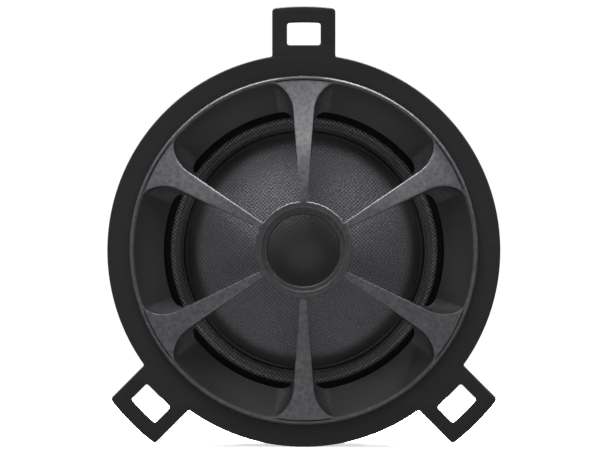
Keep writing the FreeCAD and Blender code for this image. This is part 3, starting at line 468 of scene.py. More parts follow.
@dataclass(frozen=True)
class SparkGrainPlastic(Finish):
    """Moulded ABS from a spark-eroded tool: a matt skin of tiny pits, slow flow marks, edges paler from wear
    and a painted highlight.

    Attributes:
        edge: How much paler a convex edge is than the face, as a part of it: partly wear, partly a painted
            highlight.
        grain_and_light_gain: How much paler the marked faces are than the plain walls, where the piece has
            them: partly real grain, partly painted shade on the recessed walls.
        shine: Specular level; below 0.5 where the pits swallow part of the glint.
    """

    edge: float = 0.5
    grain_and_light_gain: float = 0.0
    shine: float = 0.5

    def pattern(self, tree: Tree, shader: Node) -> None:
        """Adds pits, flow marks, paler edges (wear and a painted highlight) and, where the mesh says so,
        paler faces (grain and painted shade on the walls).
        """
        shader.inputs["Specular IOR Level"].default_value = self.shine
        place = self.place(tree)
        pits = self.noise(tree, place, self.grain, 4.0)
        cells = {"Vector": place, "Scale": 1.0 / (self.grain * 1.6 * MM), "Randomness": 1.0}
        cell = add(tree, "TexVoronoi", cells, feature="SMOOTH_F1").outputs["Distance"]
        skin = self.mean(tree, pits, cell)
        flow = self.noise(tree, place, 7.0, 2.0)
        tone = self.tint(tree, shader, skin)
        # Convex edges are made paler: partly wear, partly a painted highlight on edges that catch the light.
        sharp = add(tree, "NewGeometry").outputs["Pointiness"]
        span = {"Value": sharp, "From Min": 0.52, "From Max": 0.6, "To Min": 1.0, "To Max": 1.0 + self.edge}
        gain = add(tree, "MapRange", span).outputs["Result"]
        # Paler faces where the mesh says so: partly grain, partly painted shade that keeps the walls dark.
        if self.grain_and_light_gain:
            face = add(tree, "Attribute", attribute_name="grain_and_painted_light").outputs["Fac"]
            speck = self.span(tree, skin, self.grain_and_light_gain * 0.6, self.grain_and_light_gain * 1.4)
            lift = {0: face, 1: speck, 2: 1.0}
            raised = add(tree, "Math", lift, operation="MULTIPLY_ADD").outputs["Value"]
            gain = add(tree, "Math", {0: gain, 1: raised}, operation="MULTIPLY").outputs["Value"]
        colour = add(tree, "VectorMath", {0: tone, "Scale": gain}, operation="SCALE")
        tree.links.new(colour.outputs["Vector"], shader.inputs["Base Color"])
        self.gloss(tree, shader, flow, 0.05)
        self.bump(tree, shader, skin, self.depth)


@dataclass(frozen=True)
class WovenCloth(Finish):
    """Plain-woven polyester, formed and coated: rows of small raised crossings, darkened by glue and painted
    shade where the mesh says so, and paler where it paints a highlight.

    The cloth was flat when it was woven, so its threads still run across and up the driver.

    Attributes:
        thread: Distance between neighbouring threads in mm.
        crossing_and_glint: sRGB hex of the raised crossings, paler where the coating is worn thin and paler
            still as a painted glint.
        fuzz: Weight of the soft sheen of its loose fibres.
    """

    thread: float = 0.2
    crossing_and_glint: str = "#8c888e"
    fuzz: float = 0.2

    def pattern(self, tree: Tree, shader: Node) -> None:
        """Adds the weave: sin(x) sin(z) of the thread spacing is +1 and -1 on alternate crossings."""
        place = self.place(tree)
        wander = {"Vector": place, "Scale": 1.0 / (1.5 * MM), "Detail": 1.0}
        drift = add(tree, "TexNoise", wander).outputs["Color"]
        centred = add(tree, "VectorMath", {0: drift, 1: (0.5, 0.5, 0.5)}, operation="SUBTRACT")
        sway = {0: centred.outputs["Vector"], "Scale": self.thread * 0.9 * MM}
        shift = add(tree, "VectorMath", sway, operation="SCALE").outputs["Vector"]
        bent = add(tree, "VectorMath", {0: place, 1: shift}, operation="ADD").outputs["Vector"]
        turns = {0: bent, "Scale": math.pi / (self.thread * MM)}
        phase = add(tree, "VectorMath", turns, operation="SCALE").outputs["Vector"]
        axes = add(tree, "SeparateXYZ", {"Vector": phase}).outputs
        warp = add(tree, "Math", {0: axes["X"]}, operation="SINE").outputs["Value"]
        weft = add(tree, "Math", {0: axes["Z"]}, operation="SINE").outputs["Value"]
        over = add(tree, "Math", {0: warp, 1: weft}, operation="MULTIPLY").outputs["Value"]
        crown = {"Value": over, "From Min": -1.0, "From Max": 1.0, "To Min": 0.0, "To Max": 1.0}
        height = add(tree, "MapRange", crown, interpolation_type="SMOOTHSTEP").outputs["Result"]
        fibre = self.noise(tree, place, self.thread * 0.6, 3.0)
        lit = add(tree, "Math", {0: height, 1: self.span(tree, fibre, 0.1, 1.0)}, operation="MULTIPLY")
        # The mesh gives glue and painted shade as positive numbers, which darken, and a painted highlight as
        # negative ones.
        painted_light_and_glue = add(tree, "Attribute", attribute_name="glue_and_painted_light").outputs["Fac"]
        unshaded_share = add(tree, "Math", {0: 1.0, 1: painted_light_and_glue}, operation="SUBTRACT").outputs["Value"]
        shown = add(tree, "Math", {0: lit.outputs["Value"], 1: unshaded_share}, operation="MULTIPLY").outputs["Value"]
        tones = {"Factor": shown, "A": linear(self.tone), "B": linear(self.crossing_and_glint)}
        colour = add(tree, "Mix", tones, data_type="RGBA").outputs["Result"]
        dark = {"Value": painted_light_and_glue, "From Min": 0.0, "From Max": 1.0, "To Min": 1.0, "To Max": 0.12}
        depth = add(tree, "MapRange", dark).outputs["Result"]
        final = add(tree, "VectorMath", {0: colour, "Scale": depth}, operation="SCALE").outputs["Vector"]
        tree.links.new(final, shader.inputs["Base Color"])
        rough = self.span(tree, fibre, self.rough + 0.1, self.rough - 0.1)
        tree.links.new(rough, shader.inputs["Roughness"])
        shader.inputs["Sheen Weight"].default_value = self.fuzz
        shader.inputs["Sheen Roughness"].default_value = 0.5
        self.bump(tree, shader, shown, self.depth)


@dataclass(frozen=True)
class PlatedMetal(Finish):
    """Pressed or turned metal, plated or bare: bright, with drawing marks and a faint cloudy tarnish.

    Attributes:
        streak: How many times longer than wide the drawing marks are, along the driver's axis.
    """

    streak: float = 6.0

    def pattern(self, tree: Tree, shader: Node) -> None:
        """Adds streaks stretched along the axis, cloudy tarnish and uneven gloss."""
        shader.inputs["Metallic"].default_value = 1.0
        place = self.place(tree)
        squeeze = {"Vector": place, "Scale": (1.0, 1.0 / self.streak, 1.0)}
        long = add(tree, "Mapping", squeeze).outputs["Vector"]
        marks = self.noise(tree, long, self.grain, 3.0)
        cloud = self.noise(tree, place, 2.5, 3.0)
        self.tint(tree, shader, self.mean(tree, marks, cloud))
        self.gloss(tree, shader, self.mean(tree, marks, cloud), 0.1)
        self.bump(tree, shader, marks, self.depth)


@dataclass(frozen=True)
class WoundWire(Finish):
    """Enamelled or stranded wire laid side by side: even ridges, each turn with its own glint.

    Attributes:
        pitch: Distance between neighbouring turns in mm.
        along: Scale that leaves only the direction across the turns.
        metal: How metallic it is.
    """

    pitch: float = 0.15
    along: tuple[float, float, float] = (0.0, 1.0, 0.0)
    metal: float = 0.8

    def pattern(self, tree: Tree, shader: Node) -> None:
        """Adds round ridges one pitch apart across the turns."""
        shader.inputs["Metallic"].default_value = self.metal
        place = self.place(tree)
        across = add(tree, "Mapping", {"Vector": place, "Scale": self.along}).outputs["Vector"]
        waves = {"Vector": across, "Scale": 0.314 / (self.pitch * MM), "Distortion": 0.2}
        ridge = add(tree, "TexWave", waves, bands_direction="DIAGONAL").outputs["Fac"]
        cloud = self.noise(tree, place, self.grain, 2.0)
        self.tint(tree, shader, self.mean(tree, ridge, cloud))
        self.gloss(tree, shader, cloud, 0.08)
        self.bump(tree, shader, ridge, self.depth)


@dataclass(frozen=True)
class CellFoam(Finish):
    """Foam, felt or fibre wadding: matt, soft and full of small dark cells or loose fibres.

    Attributes:
        cell: Size of a cell or tuft in mm.
    """

    cell: float = 0.4

    def pattern(self, tree: Tree, shader: Node) -> None:
        """Adds open cells with dark hearts, and a soft sheen."""
        place = self.place(tree)
        sockets = {"Vector": place, "Scale": 1.0 / (self.cell * MM)}
        cells = add(tree, "TexVoronoi", sockets, feature="F1").outputs["Distance"]
        tufts = self.noise(tree, place, self.grain, 4.0)
        surface = self.mean(tree, cells, tufts)
        self.tint(tree, shader, surface)
        self.gloss(tree, shader, tufts, 0.05)
        shader.inputs["Sheen Weight"].default_value = 0.25
        self.bump(tree, shader, surface, self.depth)


@dataclass(frozen=True)
class GlossSkin(Finish):
    """A smooth skin such as sleeve, sheath, film, lacquer, glue or solder: glossy, with soft waves in it.

    Attributes:
        metal: How metallic it is.
        glow: Weight of light that passes under the skin.
        wave: Width of the soft waves in mm.
    """

    metal: float = 0.0
    glow: float = 0.0
    wave: float = 2.0

    def pattern(self, tree: Tree, shader: Node) -> None:
        """Adds soft waves, dust-fine grain and uneven gloss."""
        shader.inputs["Metallic"].default_value = self.metal
        shader.inputs["Subsurface Weight"].default_value = self.glow
        shader.inputs["Subsurface Scale"].default_value = 0.5 * MM
        place = self.place(tree)
        soft = self.noise(tree, place, self.wave, 1.0)
        fine = self.noise(tree, place, self.grain, 3.0)
        self.tint(tree, shader, self.mean(tree, soft, fine))
        self.gloss(tree, shader, fine, 0.07)
        self.bump(tree, shader, self.mean(tree, soft, fine), self.depth)


@dataclass(frozen=True)
class PressedLaminate(Finish):
    """Paper laminate, punched: a mottled brown board with the paper's fibres and its plies on the edge.

    Attributes:
        ply: Thickness of one layer of paper in mm.
    """

    ply: float = 0.2

    def pattern(self, tree: Tree, shader: Node) -> None:
        """Adds plies one above another through the board and long fibres across it."""
        place = self.place(tree)
        level = add(tree, "Mapping", {"Vector": place, "Scale": (0.0, 1.0, 0.0)}).outputs["Vector"]
        layers = {"Vector": level, "Scale": 0.314 / (self.ply * MM)}
        plies = add(tree, "TexWave", layers, bands_direction="DIAGONAL").outputs["Fac"]
        long = add(tree, "Mapping", {"Vector": place, "Scale": (0.2, 1.0, 1.0)}).outputs["Vector"]
        fibres = self.noise(tree, long, self.grain, 4.0)
        self.tint(tree, shader, self.mean(tree, plies, fibres))
        self.gloss(tree, shader, fibres, 0.08)
        self.bump(tree, shader, fibres, self.depth)


@dataclass(frozen=True)
class PaleBoard(Finish):
    """Matt board for the studio floor, lit from below as a light table is.

    Attributes:
        glow: Strength of the light from below.
    """

    glow: float = 0.7

    def pattern(self, tree: Tree, shader: Node) -> None:
        """Adds the paper's fine grain and the light from below."""
        super().pattern(tree, shader)
        shader.inputs["Emission Color"].default_value = linear(self.tone)
        shader.inputs["Emission Strength"].default_value = self.glow


# Black ABS from a spark-eroded tool: matt, almost no glint. Its 0.08 mm grain is drawn three times as coarse.
BRACKET_ABS = SparkGrainPlastic("black_abs_spark_grain", "#242426", 0.62, 0.25, 0.008, 0.08, 0.35, 0.0, 0.2)
# The same plastic in charcoal, a little violet: faces far paler than its smooth walls, partly grain and
# partly painted shade on the recessed walls.
GRILLE_ABS = SparkGrainPlastic("charcoal_abs_spark_grain", "#262527", 0.5, 0.3, 0.01, 0.04, 0.2, 3.4, 0.5)
# Plain black ABS behind, less matt, with the same pits: the carrier is satin, the chamber a shade paler.
CARRIER_ABS = SparkGrainPlastic("black_abs_satin", "#19191b", 0.5, 0.3, 0.006, 0.1, 0.4)
HOUSING_ABS = SparkGrainPlastic("black_abs_fine_grain", "#1e1e20", 0.5, 0.3, 0.008, 0.1, 0.45)
# Coated polyester dome: fine crossings at a real 0.18 mm, drawn at 0.22 so that they show.
DOME_CLOTH = WovenCloth("coated_polyester_fine_weave", "#525055", 0.6, 0.2, 0.2, 0.1, 0.22, "#827d85", 0.3)
# The surround is coarser cloth with a thinner coat: its crossings are worn pale, and their pale tone also
# paints the glint they catch.
ROLL_CLOTH = WovenCloth("coated_polyester_coarse_weave", "#1f1f20", 0.5, 0.2, 0.08, 0.1, 0.22, "#a19ea5", 0.3)
# Amber film wound into a tube: glossy with soft waves.
FORMER_FILM = GlossSkin("polyimide_film_wound", "#a8641c", 0.25, 0.3, 0.004, 0.1, 0.0, 0.1, 1.5)
ENAMELLED_COPPER = WoundWire("copper_wire_enamelled", "#a4501f", 0.28, 0.6, 0.04, 0.15, 0.15)
TINSEL = WoundWire("copper_tinsel_stranded", "#b5774a", 0.35, 0.3, 0.03, 0.2, 0.12, (1.0, 0.6, 0.6), 1.0)
EYELET_BRASS = PlatedMetal("brass_pressed", "#c9a24e", 0.3, 0.2, 0.003, 0.08)
RIVET_BRASS = PlatedMetal("brass_pressed_bright", "#d1ab58", 0.26, 0.2, 0.003, 0.08)
GASKET_FOAM = CellFoam("polyurethane_foam_die_cut", "#161617", 0.95, 0.2, 0.08, 0.35, 0.35)
FELT = CellFoam("wool_felt_punched", "#3b3b3d", 0.95, 0.15, 0.08, 0.3, 0.25)
WADDING = CellFoam("polyester_wadding_carded", "#d9d8d2", 0.9, 0.3, 0.2, 0.15, 0.9)
ZINC_STEEL = PlatedMetal("steel_zinc_plated", "#b9bcc0", 0.32, 0.25, 0.003, 0.1, 2.0)
DRAWN_COPPER = PlatedMetal("copper_drawn", "#c8714a", 0.28, 0.2, 0.003, 0.08)
NICKEL = PlatedMetal("neodymium_nickel_plated", "#c4c2bd", 0.16, 0.4, 0.001, 0.04, 1.0)
SEAL_RUBBER = GlossSkin("nitrile_rubber_moulded", "#141415", 0.6, 0.2, 0.01, 0.15, 0.0, 0.0, 1.0)
SCREW_STEEL = PlatedMetal("steel_zinc_plated_rolled", "#a9adb2", 0.3, 0.12, 0.003, 0.12, 1.0)
LAMINATE = PressedLaminate("paper_laminate_punched", "#6d4623", 0.42, 0.18, 0.01, 0.22)
TINNED_BRASS = PlatedMetal("brass_tin_plated_blanked", "#c6c7c4", 0.3, 0.12, 0.003, 0.08)
RED_PVC = GlossSkin("pvc_extruded_red", "#9c1512", 0.35, 0.2, 0.005, 0.08, 0.0, 0.05, 1.2)
BLACK_PVC = GlossSkin("pvc_extruded_black", "#141414", 0.35, 0.2, 0.005, 0.08, 0.0, 0.0, 1.2)
SLEEVE = GlossSkin("pvc_sleeve_heat_shrunk", "#17304f", 0.24, 0.25, 0.02, 0.08, 0.0, 0.0, 1.6)
TINNED_WIRE = PlatedMetal("copper_wire_tinned", "#c9cbcc", 0.28, 0.1, 0.002, 0.07)
HOT_GLUE = GlossSkin("hot_melt_glue_set", "#c9c2ac", 0.3, 0.5, 0.06, 0.06, 0.0, 0.6, 1.2)
SOLDER = GlossSkin("tin_solder_reflowed", "#b9bcc0", 0.3, 0.15, 0.02, 0.08, 1.0, 0.0, 0.5)
LABEL_FILM = GlossSkin("polypropylene_film_matt", "#d8d8d4", 0.5, 0.15, 0.004, 0.03, 0.0, 0.0, 3.0)

# The CAD nodes whose shape is right, and what each is made of.
CARRIED_OVER = {
    "diaphragm_ring": CARRIER_ABS,
    "diaphragm_gasket": GASKET_FOAM,
    "voice_coil_former": FORMER_FILM,
    "voice_coil_winding": ENAMELLED_COPPER,
    "lead_eyelets": EYELET_BRASS,
    "damping_felt": FELT,
    "pole_plate": ZINC_STEEL,
    "copper_cap": DRAWN_COPPER,
    "ring_magnet": NICKEL,
    "yoke_cup": ZINC_STEEL,
    "chamber_wadding": WADDING,
    "housing_seal": SEAL_RUBBER,
    "terminal_board": LAMINATE,
    "terminal_positive": TINNED_BRASS,
    "terminal_negative": TINNED_BRASS,
    "junction_lug": TINNED_BRASS,
    "terminal_rivets": RIVET_BRASS,
    "jumper_positive": RED_PVC,
    "jumper_negative": BLACK_PVC,
    "capacitor_leads": TINNED_WIRE,
    "capacitor_glue": HOT_GLUE,
    "solder_joints": SOLDER,
}


# ---------------------------------------------------------------- front pieces


@dataclass
class MountingBracket:
    """Flat flange with three slotted tabs and a locating skirt behind. Sizes in mm, angles in degrees."""

    flange_radius: float = 21.9
    thickness: float = 1.6
    bore: float = 18.95
    skirt_radius: float = 20.0
    skirt_depth: float = 3.5
    tab_angles: tuple[float, ...] = (90.0, 225.0, 315.0)
    tab_reach: float = 27.2
    tab_half_width: float = 3.525
    tab_corner: float = 0.45
    root_fillet: float = 0.2
    slot_near: float = 22.86
    slot_far: float = 25.44
    slot_half_width: float = 1.875
    slot_corner: float = 0.28
    edge: float = 0.16

    def tab_outline(self) -> Points:
        """One tab's outline from the flange on one side to the flange on the other, along +x.

        End arc, corner arc, straight side and a hollow arc at the root, then the same mirrored. A corner's
        centre is where the side and the end arc, each moved in by the corner's radius, cross.
        """
        side, corner, hollow = self.tab_half_width, self.tab_corner, self.root_fillet
        reach = math.sqrt((self.tab_reach - corner) ** 2 - (side - corner) ** 2)
        root = math.sqrt((self.flange_radius + hollow) ** 2 - (side + hollow) ** 2)
        tip_angle = math.atan2(side - corner, reach)
        end = polar(self.tab_reach, np.linspace(0.0, tip_angle, 9)[:-1], 0.0)[:, :2]
        turn = np.linspace(tip_angle, math.pi / 2.0, 8)
        outer = polar(corner, turn, 0.0)[:, :2] + (reach, side - corner)
        straight = np.linspace((reach, side), (root, side), 8)[1:-1]
        inward = math.atan2(side + hollow, root) + math.pi
        turn = np.linspace(1.5 * math.pi, inward, 6)
        inner = polar(hollow, turn, 0.0)[:, :2] + (root, side + hollow)
        upper = np.concatenate((end, outer, straight, inner))
        lower = upper[:0:-1] * (1.0, -1.0)
        return np.concatenate((lower, upper))

    def outline(self) -> Points:
        """The whole outline, anticlockwise: the tabs, with arcs of the flange between them."""
        tab = self.tab_outline()
        foot = math.degrees(math.atan2(tab[-1, 1], tab[-1, 0]))
        after = np.roll(np.array(self.tab_angles), -1)
        after[-1] += 360.0
        runs = []
        for here, there in zip(self.tab_angles, after):
            sweep = np.radians(np.linspace(here + foot, there - foot, 120)[1:-1])
            runs.append(turned(tab, here))
            runs.append(polar(self.flange_radius, sweep, 0.0)[:, :2])
        return np.concatenate(runs)

    def slot(self, angle: float) -> Points:
        """One slot, anticlockwise: a straight near edge, two sides and an arc about the axis beyond."""
        side, corner = self.slot_half_width, self.slot_corner
        far = math.sqrt((self.slot_far - corner) ** 2 - (side - corner) ** 2)
        lean = math.atan2(side - corner, far)
        arc = polar(self.slot_far, np.linspace(-lean, lean, 9), 0.0)[:, :2]
        turn = np.linspace(lean, math.pi / 2.0, 6)[1:]
        upper = polar(corner, turn, 0.0)[:, :2] + (far, side - corner)
        turn = np.linspace(math.pi / 2.0, math.pi, 6)
        near = polar(corner, turn, 0.0)[:, :2] + (self.slot_near + corner, side - corner)
        half = np.concatenate((upper, near))
        return turned(np.concatenate((half[::-1] * (1.0, -1.0), arc, half)), angle)

    def wall(self, shell: Shell, loop: Points, inward: float) -> tuple[Points, Points]:
        """Adds the rounded wall that follows a loop, from the front face to the back.

        The profile is a quarter round of the edge's radius, the straight wall and a second quarter round.

        Args:
            shell: The mesh under way.
            loop: The closed outline.
            inward: +1 where the plastic lies left of the loop, -1 where it lies right of it.

        Returns:
            The loops where the wall meets the front face and the back face.
        """
        turn = np.linspace(0.0, math.pi / 2.0, 5)
        inset = self.edge * (1.0 - np.sin(turn))
        front = self.thickness - self.edge * (1.0 - np.cos(turn))
        back = self.edge * (1.0 - np.cos(turn))[::-1]
        steps = np.concatenate((inset, inset[::-1]))[:, None, None]
        levels = np.concatenate((front, back))[:, None, None]
        flat = loop[None] + offset_from(loop)[None] * steps * inward
        grid = np.concatenate((flat, np.broadcast_to(levels, flat.shape[:2] + (1,))), axis=-1)
        shell.add(grid, closed=True)
        return grid[0], grid[-1]

    def build(self) -> Piece:
        """Builds the flange, its slots and its skirt as one closed mesh."""
        shell = Shell()
        loops = [self.wall(shell, self.outline(), 1.0)]
        loops += [self.wall(shell, self.slot(angle), -1.0) for angle in self.tab_angles]
        turn = around(192)
        skirt = rounded(
            (
                (self.skirt_radius, 0.0, 0.0),
                (self.skirt_radius, -self.skirt_depth, 0.25),
                (self.bore, -self.skirt_depth, 0.15),
                (self.bore, self.thickness, 0.0),
            )
        )[4:-4]
        grid = polar(skirt[:, :1], turn, skirt[:, 1:])
        shell.add(grid, closed=True)
        shell.fill([loops[0][0], grid[-1]] + [pair[0] for pair in loops[1:]])
        shell.fill([loops[0][1], grid[0]] + [pair[1] for pair in loops[1:]])
        piece = shell.finish("bracket_flange", 50.0)
        keep_flats_flat(piece)
        settle(piece, BRACKET_ABS, ["mounting_bracket"])
        return piece


@dataclass
class FrontGrille:
    """Rim, six scooped windows, six spokes and a stepped hub ring. Sizes in mm.

    The front faces all lie on one crown, a surface of revolution; the windows are ruled between their
    outline on the crown and the opening's outline behind.
    """

    count: int = 6
    hub_radius: float = 5.37
    hub_hole: float = 4.0
    crown_level: float = 5.95
    shoulder_radius: float = 12.3
    shoulder_level: float = 4.55
    crown_bend: float = 23.8
    end_radius: float = 18.9
    end_level: float = 2.15
    lip_radius: float = 18.98
    rim_radius: float = 19.43
    flange_level: float = 1.6
    groove_depth: float = 0.25
    opening_radius: float = 15.67
    scoop: float = 0.26
    flank_angle: float = 10.2
    opening_level: float = -0.45
    hub_back_radius: float = 5.6
    hub_back_level: float = 4.4
    root_half_width: float = 0.363
    flare: tuple[float, float] = (15.47, 1.143)
    flare_bend: float = 3.83
    tip_half_width: float = 3.27
    back_root_half_width: float = 0.55
    corner: tuple[float, float] = (14.19, 1.234)
    corner_bend: float = 1.35
    corner_end: float = 2.8
    throat_end: float = -2.9
    throat_radius: float = 16.4
    barrel_radius: float = 18.9
    barrel_bore: float = 17.9
    barrel_end: float = -3.5
    edge: float = 0.13
    lip_edge: float = 0.03
    hub_step: float = 5.3
    cove_start: float = 14.0
    rim_grain_and_light: float = 0.8
    ring_grain_and_cove_light: float = 0.4
    boss_radius: float = 1.25
    boss_bore: float = 0.82
    boss_front: float = 0.4

    def crown(self, radius: Points) -> Points:
        """Level of the front faces: a straight cone outside the shoulder and a circular arc inside it."""
        slope = (self.shoulder_level - self.end_level) / (self.end_radius - self.shoulder_radius)
        lean = math.atan(slope)
        centre = self.shoulder_radius - self.crown_bend * math.sin(lean)
        middle = self.shoulder_level - self.crown_bend * math.cos(lean)
        inside = middle + np.sqrt(self.crown_bend**2 - (radius - centre) ** 2)
        outside = self.end_level + (self.end_radius - radius) * slope
        return np.where(radius > self.shoulder_radius, outside, inside)

    def back(self, radius: Points) -> Points:
        """Level of the spokes' backs: a straight cone from the hub's back edge to the opening."""
        run = self.opening_radius - self.hub_back_radius
        slope = (self.hub_back_level - self.opening_level) / run
        cone = self.hub_back_level - (radius - self.hub_back_radius) * slope
        ring = self.hub_back_level + (self.hub_back_radius - radius) * 0.1875
        return np.where(radius < self.hub_back_radius, ring, cone)

    def side(self, root: float, start: Sequence[float], tip: float, bend: float, end: float) -> Points:
        """One side of a spoke, along it and beside it: a straight line and then an arc to the rim.

        Args:
            root: Half width where the spoke leaves the hub.
            start: Where the arc starts.
            tip: Half width where the arc ends.
            bend: Radius of the arc.
            end: Radius about the axis on which the arc ends.

        Returns:
            The points from hub to rim.
        """
        first = (math.sqrt(self.hub_radius**2 - root**2), root)
        last = (math.sqrt(end**2 - tip**2), tip)
        line = np.linspace(first, start, LINE_POINTS + 1)[:-1]
        return np.concatenate((line, arc_between(start, last, bend, BEND_POINTS)))

    def window(self, side: Points, outer: Points) -> Points:
        """One window's outline, about +x: hub arc, far side outwards, outer arc back, near side inwards.

        Args:
            side: A spoke's side, from hub to rim.
            outer: Radii of the points between the two tips.

        Returns:
            The closed outline.
        """
        half_pitch = math.pi / self.count
        near = turned(side, -math.degrees(half_pitch))
        far = near * (1.0, -1.0)
        root = half_pitch - math.atan2(side[0, 1], side[0, 0])
        tip = half_pitch - math.atan2(side[-1, 1], side[-1, 0])
        hub = polar(self.hub_radius, np.linspace(-root, root, HUB_POINTS + 2)[1:-1], 0.0)[:, :2]
        sweep = np.linspace(tip, -tip, len(outer) + 2)[1:-1]
        arc = polar(outer, sweep, 0.0)[:, :2]
        return np.concatenate((hub, far, arc, near[::-1]))

    def meet_backs(self, front: Points, rear: Points) -> Points:
        """Finds where each ruling meets the spokes' backs, by halving the interval.

        Args:
            front: The window's outline at the rim's level.
            rear: The opening's outline.

        Returns:
            Shares of the rulings, 0 at the front and 1 at the rear.
        """
        fall = self.end_level - self.opening_level
        low, high = np.zeros(len(front)), np.ones(len(front))
        for _ in range(30):
            guess = (low + high) / 2.0
            spot = front + (rear - front) * guess[:, None]
            above = self.end_level - fall * guess > self.back(off_axis(spot))
            low, high = np.where(above, guess, low), np.where(above, high, guess)
        return np.where(self.back(off_axis(front)) >= self.end_level, 0.0, high)

    def outlines(self) -> tuple[Points, Points, Points]:
        """Draws the window on the crown and on the backs.

        Returns:
            The front outline, the rear outline, and each front point's inset where its edge is rounded.
        """
        step = np.abs(np.linspace(-1.0, 1.0, OUTER_POINTS + 2)[1:-1])
        fade = ease((1.0 - step) / 0.06)
        lip = self.end_radius + (self.lip_radius - self.end_radius) * fade
        side = self.side(
            self.root_half_width, self.flare, self.tip_half_width, self.flare_bend, self.end_radius
        )
        front = self.window(side, lip)
        side = self.side(
            self.back_root_half_width, self.corner, self.corner_end, self.corner_bend, self.opening_radius
        )
        rear = self.window(side, np.full(OUTER_POINTS, self.opening_radius))
        inset = np.minimum(self.edge, 0.3 * np.maximum(self.end_radius - off_axis(front), 0.0))
        inset[HUB_POINTS + SIDE_POINTS : -SIDE_POINTS] = self.lip_edge * fade
        return front, rear, inset

    def walls(self) -> dict[str, Points]:
        """Works out one window's wall.

        Row by row: a quarter round from the crown into the wall, straight back to the rim's level, then
        along the ruling to the opening's outline, as far as the spokes' backs. Outside the spokes the
        ruling is scooped by a parabola, scoop deep in its middle.

        Returns:
            The wall's grid, its edge on the crown and its edge on the backs.
        """
        front, rear, inset = self.outlines()
        radius = off_axis(front)
        place = np.arange(len(front))
        outer = (place >= HUB_POINTS + SIDE_POINTS) & (place < len(front) - SIDE_POINTS)
        turn = np.linspace(0.0, math.pi / 2.0, 4)[:, None, None]
        flat = front[None] + (offset_from(front) * inset[:, None])[None] * (1.0 - np.sin(turn))
        crest = np.where(outer, self.end_level, self.crown(off_axis(flat)))
        rounding = crest - inset * (1.0 - np.cos(turn[..., 0]))
        rows = [np.concatenate((flat, rounding[..., None]), axis=-1)]
        meets = self.meet_backs(front, rear)
        knee = np.maximum(self.end_level, self.back(radius))
        top = np.minimum(rounding[-1], np.where(outer, rounding[-1], knee))
        for part in (0.5, 1.0):
            level = rounding[-1] + (top - rounding[-1]) * part
            rows.append(np.concatenate((front, level[:, None]), axis=-1)[None])
        hollow = unit(offset_from(front)) * self.scoop * ease((radius - 15.0) / 2.5)[:, None]
        foot = front + (rear - front) * meets[:, None]
        end = np.where(meets > 0.0, self.back(off_axis(foot)), top)
        for part in np.linspace(0.0, 1.0, 15)[1:]:
            spot = front + (rear - front) * (meets * part)[:, None] + hollow * 4.0 * part * (1.0 - part)
            level = top + (end - top) * part
            rows.append(np.concatenate((spot, level[:, None]), axis=-1)[None])
        grid = np.concatenate(rows)
        return {"grid": grid, "front": grid[0], "rear": grid[-1]}

    def face(self, edge: Points, end_radius: float, on_crown: bool) -> Points:
        """One spoke's face between its two edges, about +x.

        Across the spoke the points run evenly from one edge to the other; near the hub and near the rim
        the rows bend into arcs about the axis, so that they meet the rings there.

        Args:
            edge: One edge, along and beside the spoke, from hub to rim.
            end_radius: Radius of the last row.
            on_crown: Whether the face lies on the crown, or on the spokes' backs.

        Returns:
            Grid of rows along the spoke and columns across it.
        """
        across = np.linspace(-1.0, 1.0, SPOKE_COLUMNS)[None, :]
        along, beside = edge[:, :1], edge[:, 1:2]
        place = np.linspace(0.0, 1.0, len(edge))[:, None]
        y = beside * across
        near, far = np.hypot(*edge[0, :2]), end_radius
        to_hub = (1.0 - ease(place / 0.12)) * (np.sqrt(near**2 - y**2) - np.sqrt(near**2 - beside**2))
        to_rim = ease((place - 0.6) / 0.4) * (np.sqrt(far**2 - y**2) - np.sqrt(far**2 - beside**2))
        x = along + to_hub + to_rim
        radius = np.hypot(x, y)
        level = self.crown(radius) if on_crown else self.back(radius)
        return np.stack((x, y, level), axis=-1)

    def spoke_edge(self, loop: Points) -> Points:
        """The near side of a window's loop, from hub to rim, turned to lie along the spoke's own axis."""
        return turned(loop[-SIDE_POINTS:][::-1], math.degrees(math.pi / self.count))

    def ring_columns(self, loop: Points, face: Points, at_hub: bool) -> tuple[Points, Points]:
        """Angle and radius of the columns that go round one sixth of a ring: a spoke and then a window.

        Args:
            loop: The window's outline.
            face: The spoke's face.
            at_hub: Whether the ring is the hub, or the rim.

        Returns:
            Angles in radians and radii.
        """
        half_pitch = math.degrees(math.pi / self.count)
        last = face[0 if at_hub else -1]
        row = turned(last, -half_pitch)
        gap = loop[:HUB_POINTS] if at_hub else loop[HUB_POINTS + SIDE_POINTS : -SIDE_POINTS][::-1]
        end = turned(last[:1], half_pitch)
        path = np.concatenate((row, gap, end))
        return np.arctan2(path[:, 1], path[:, 0]), off_axis(path)

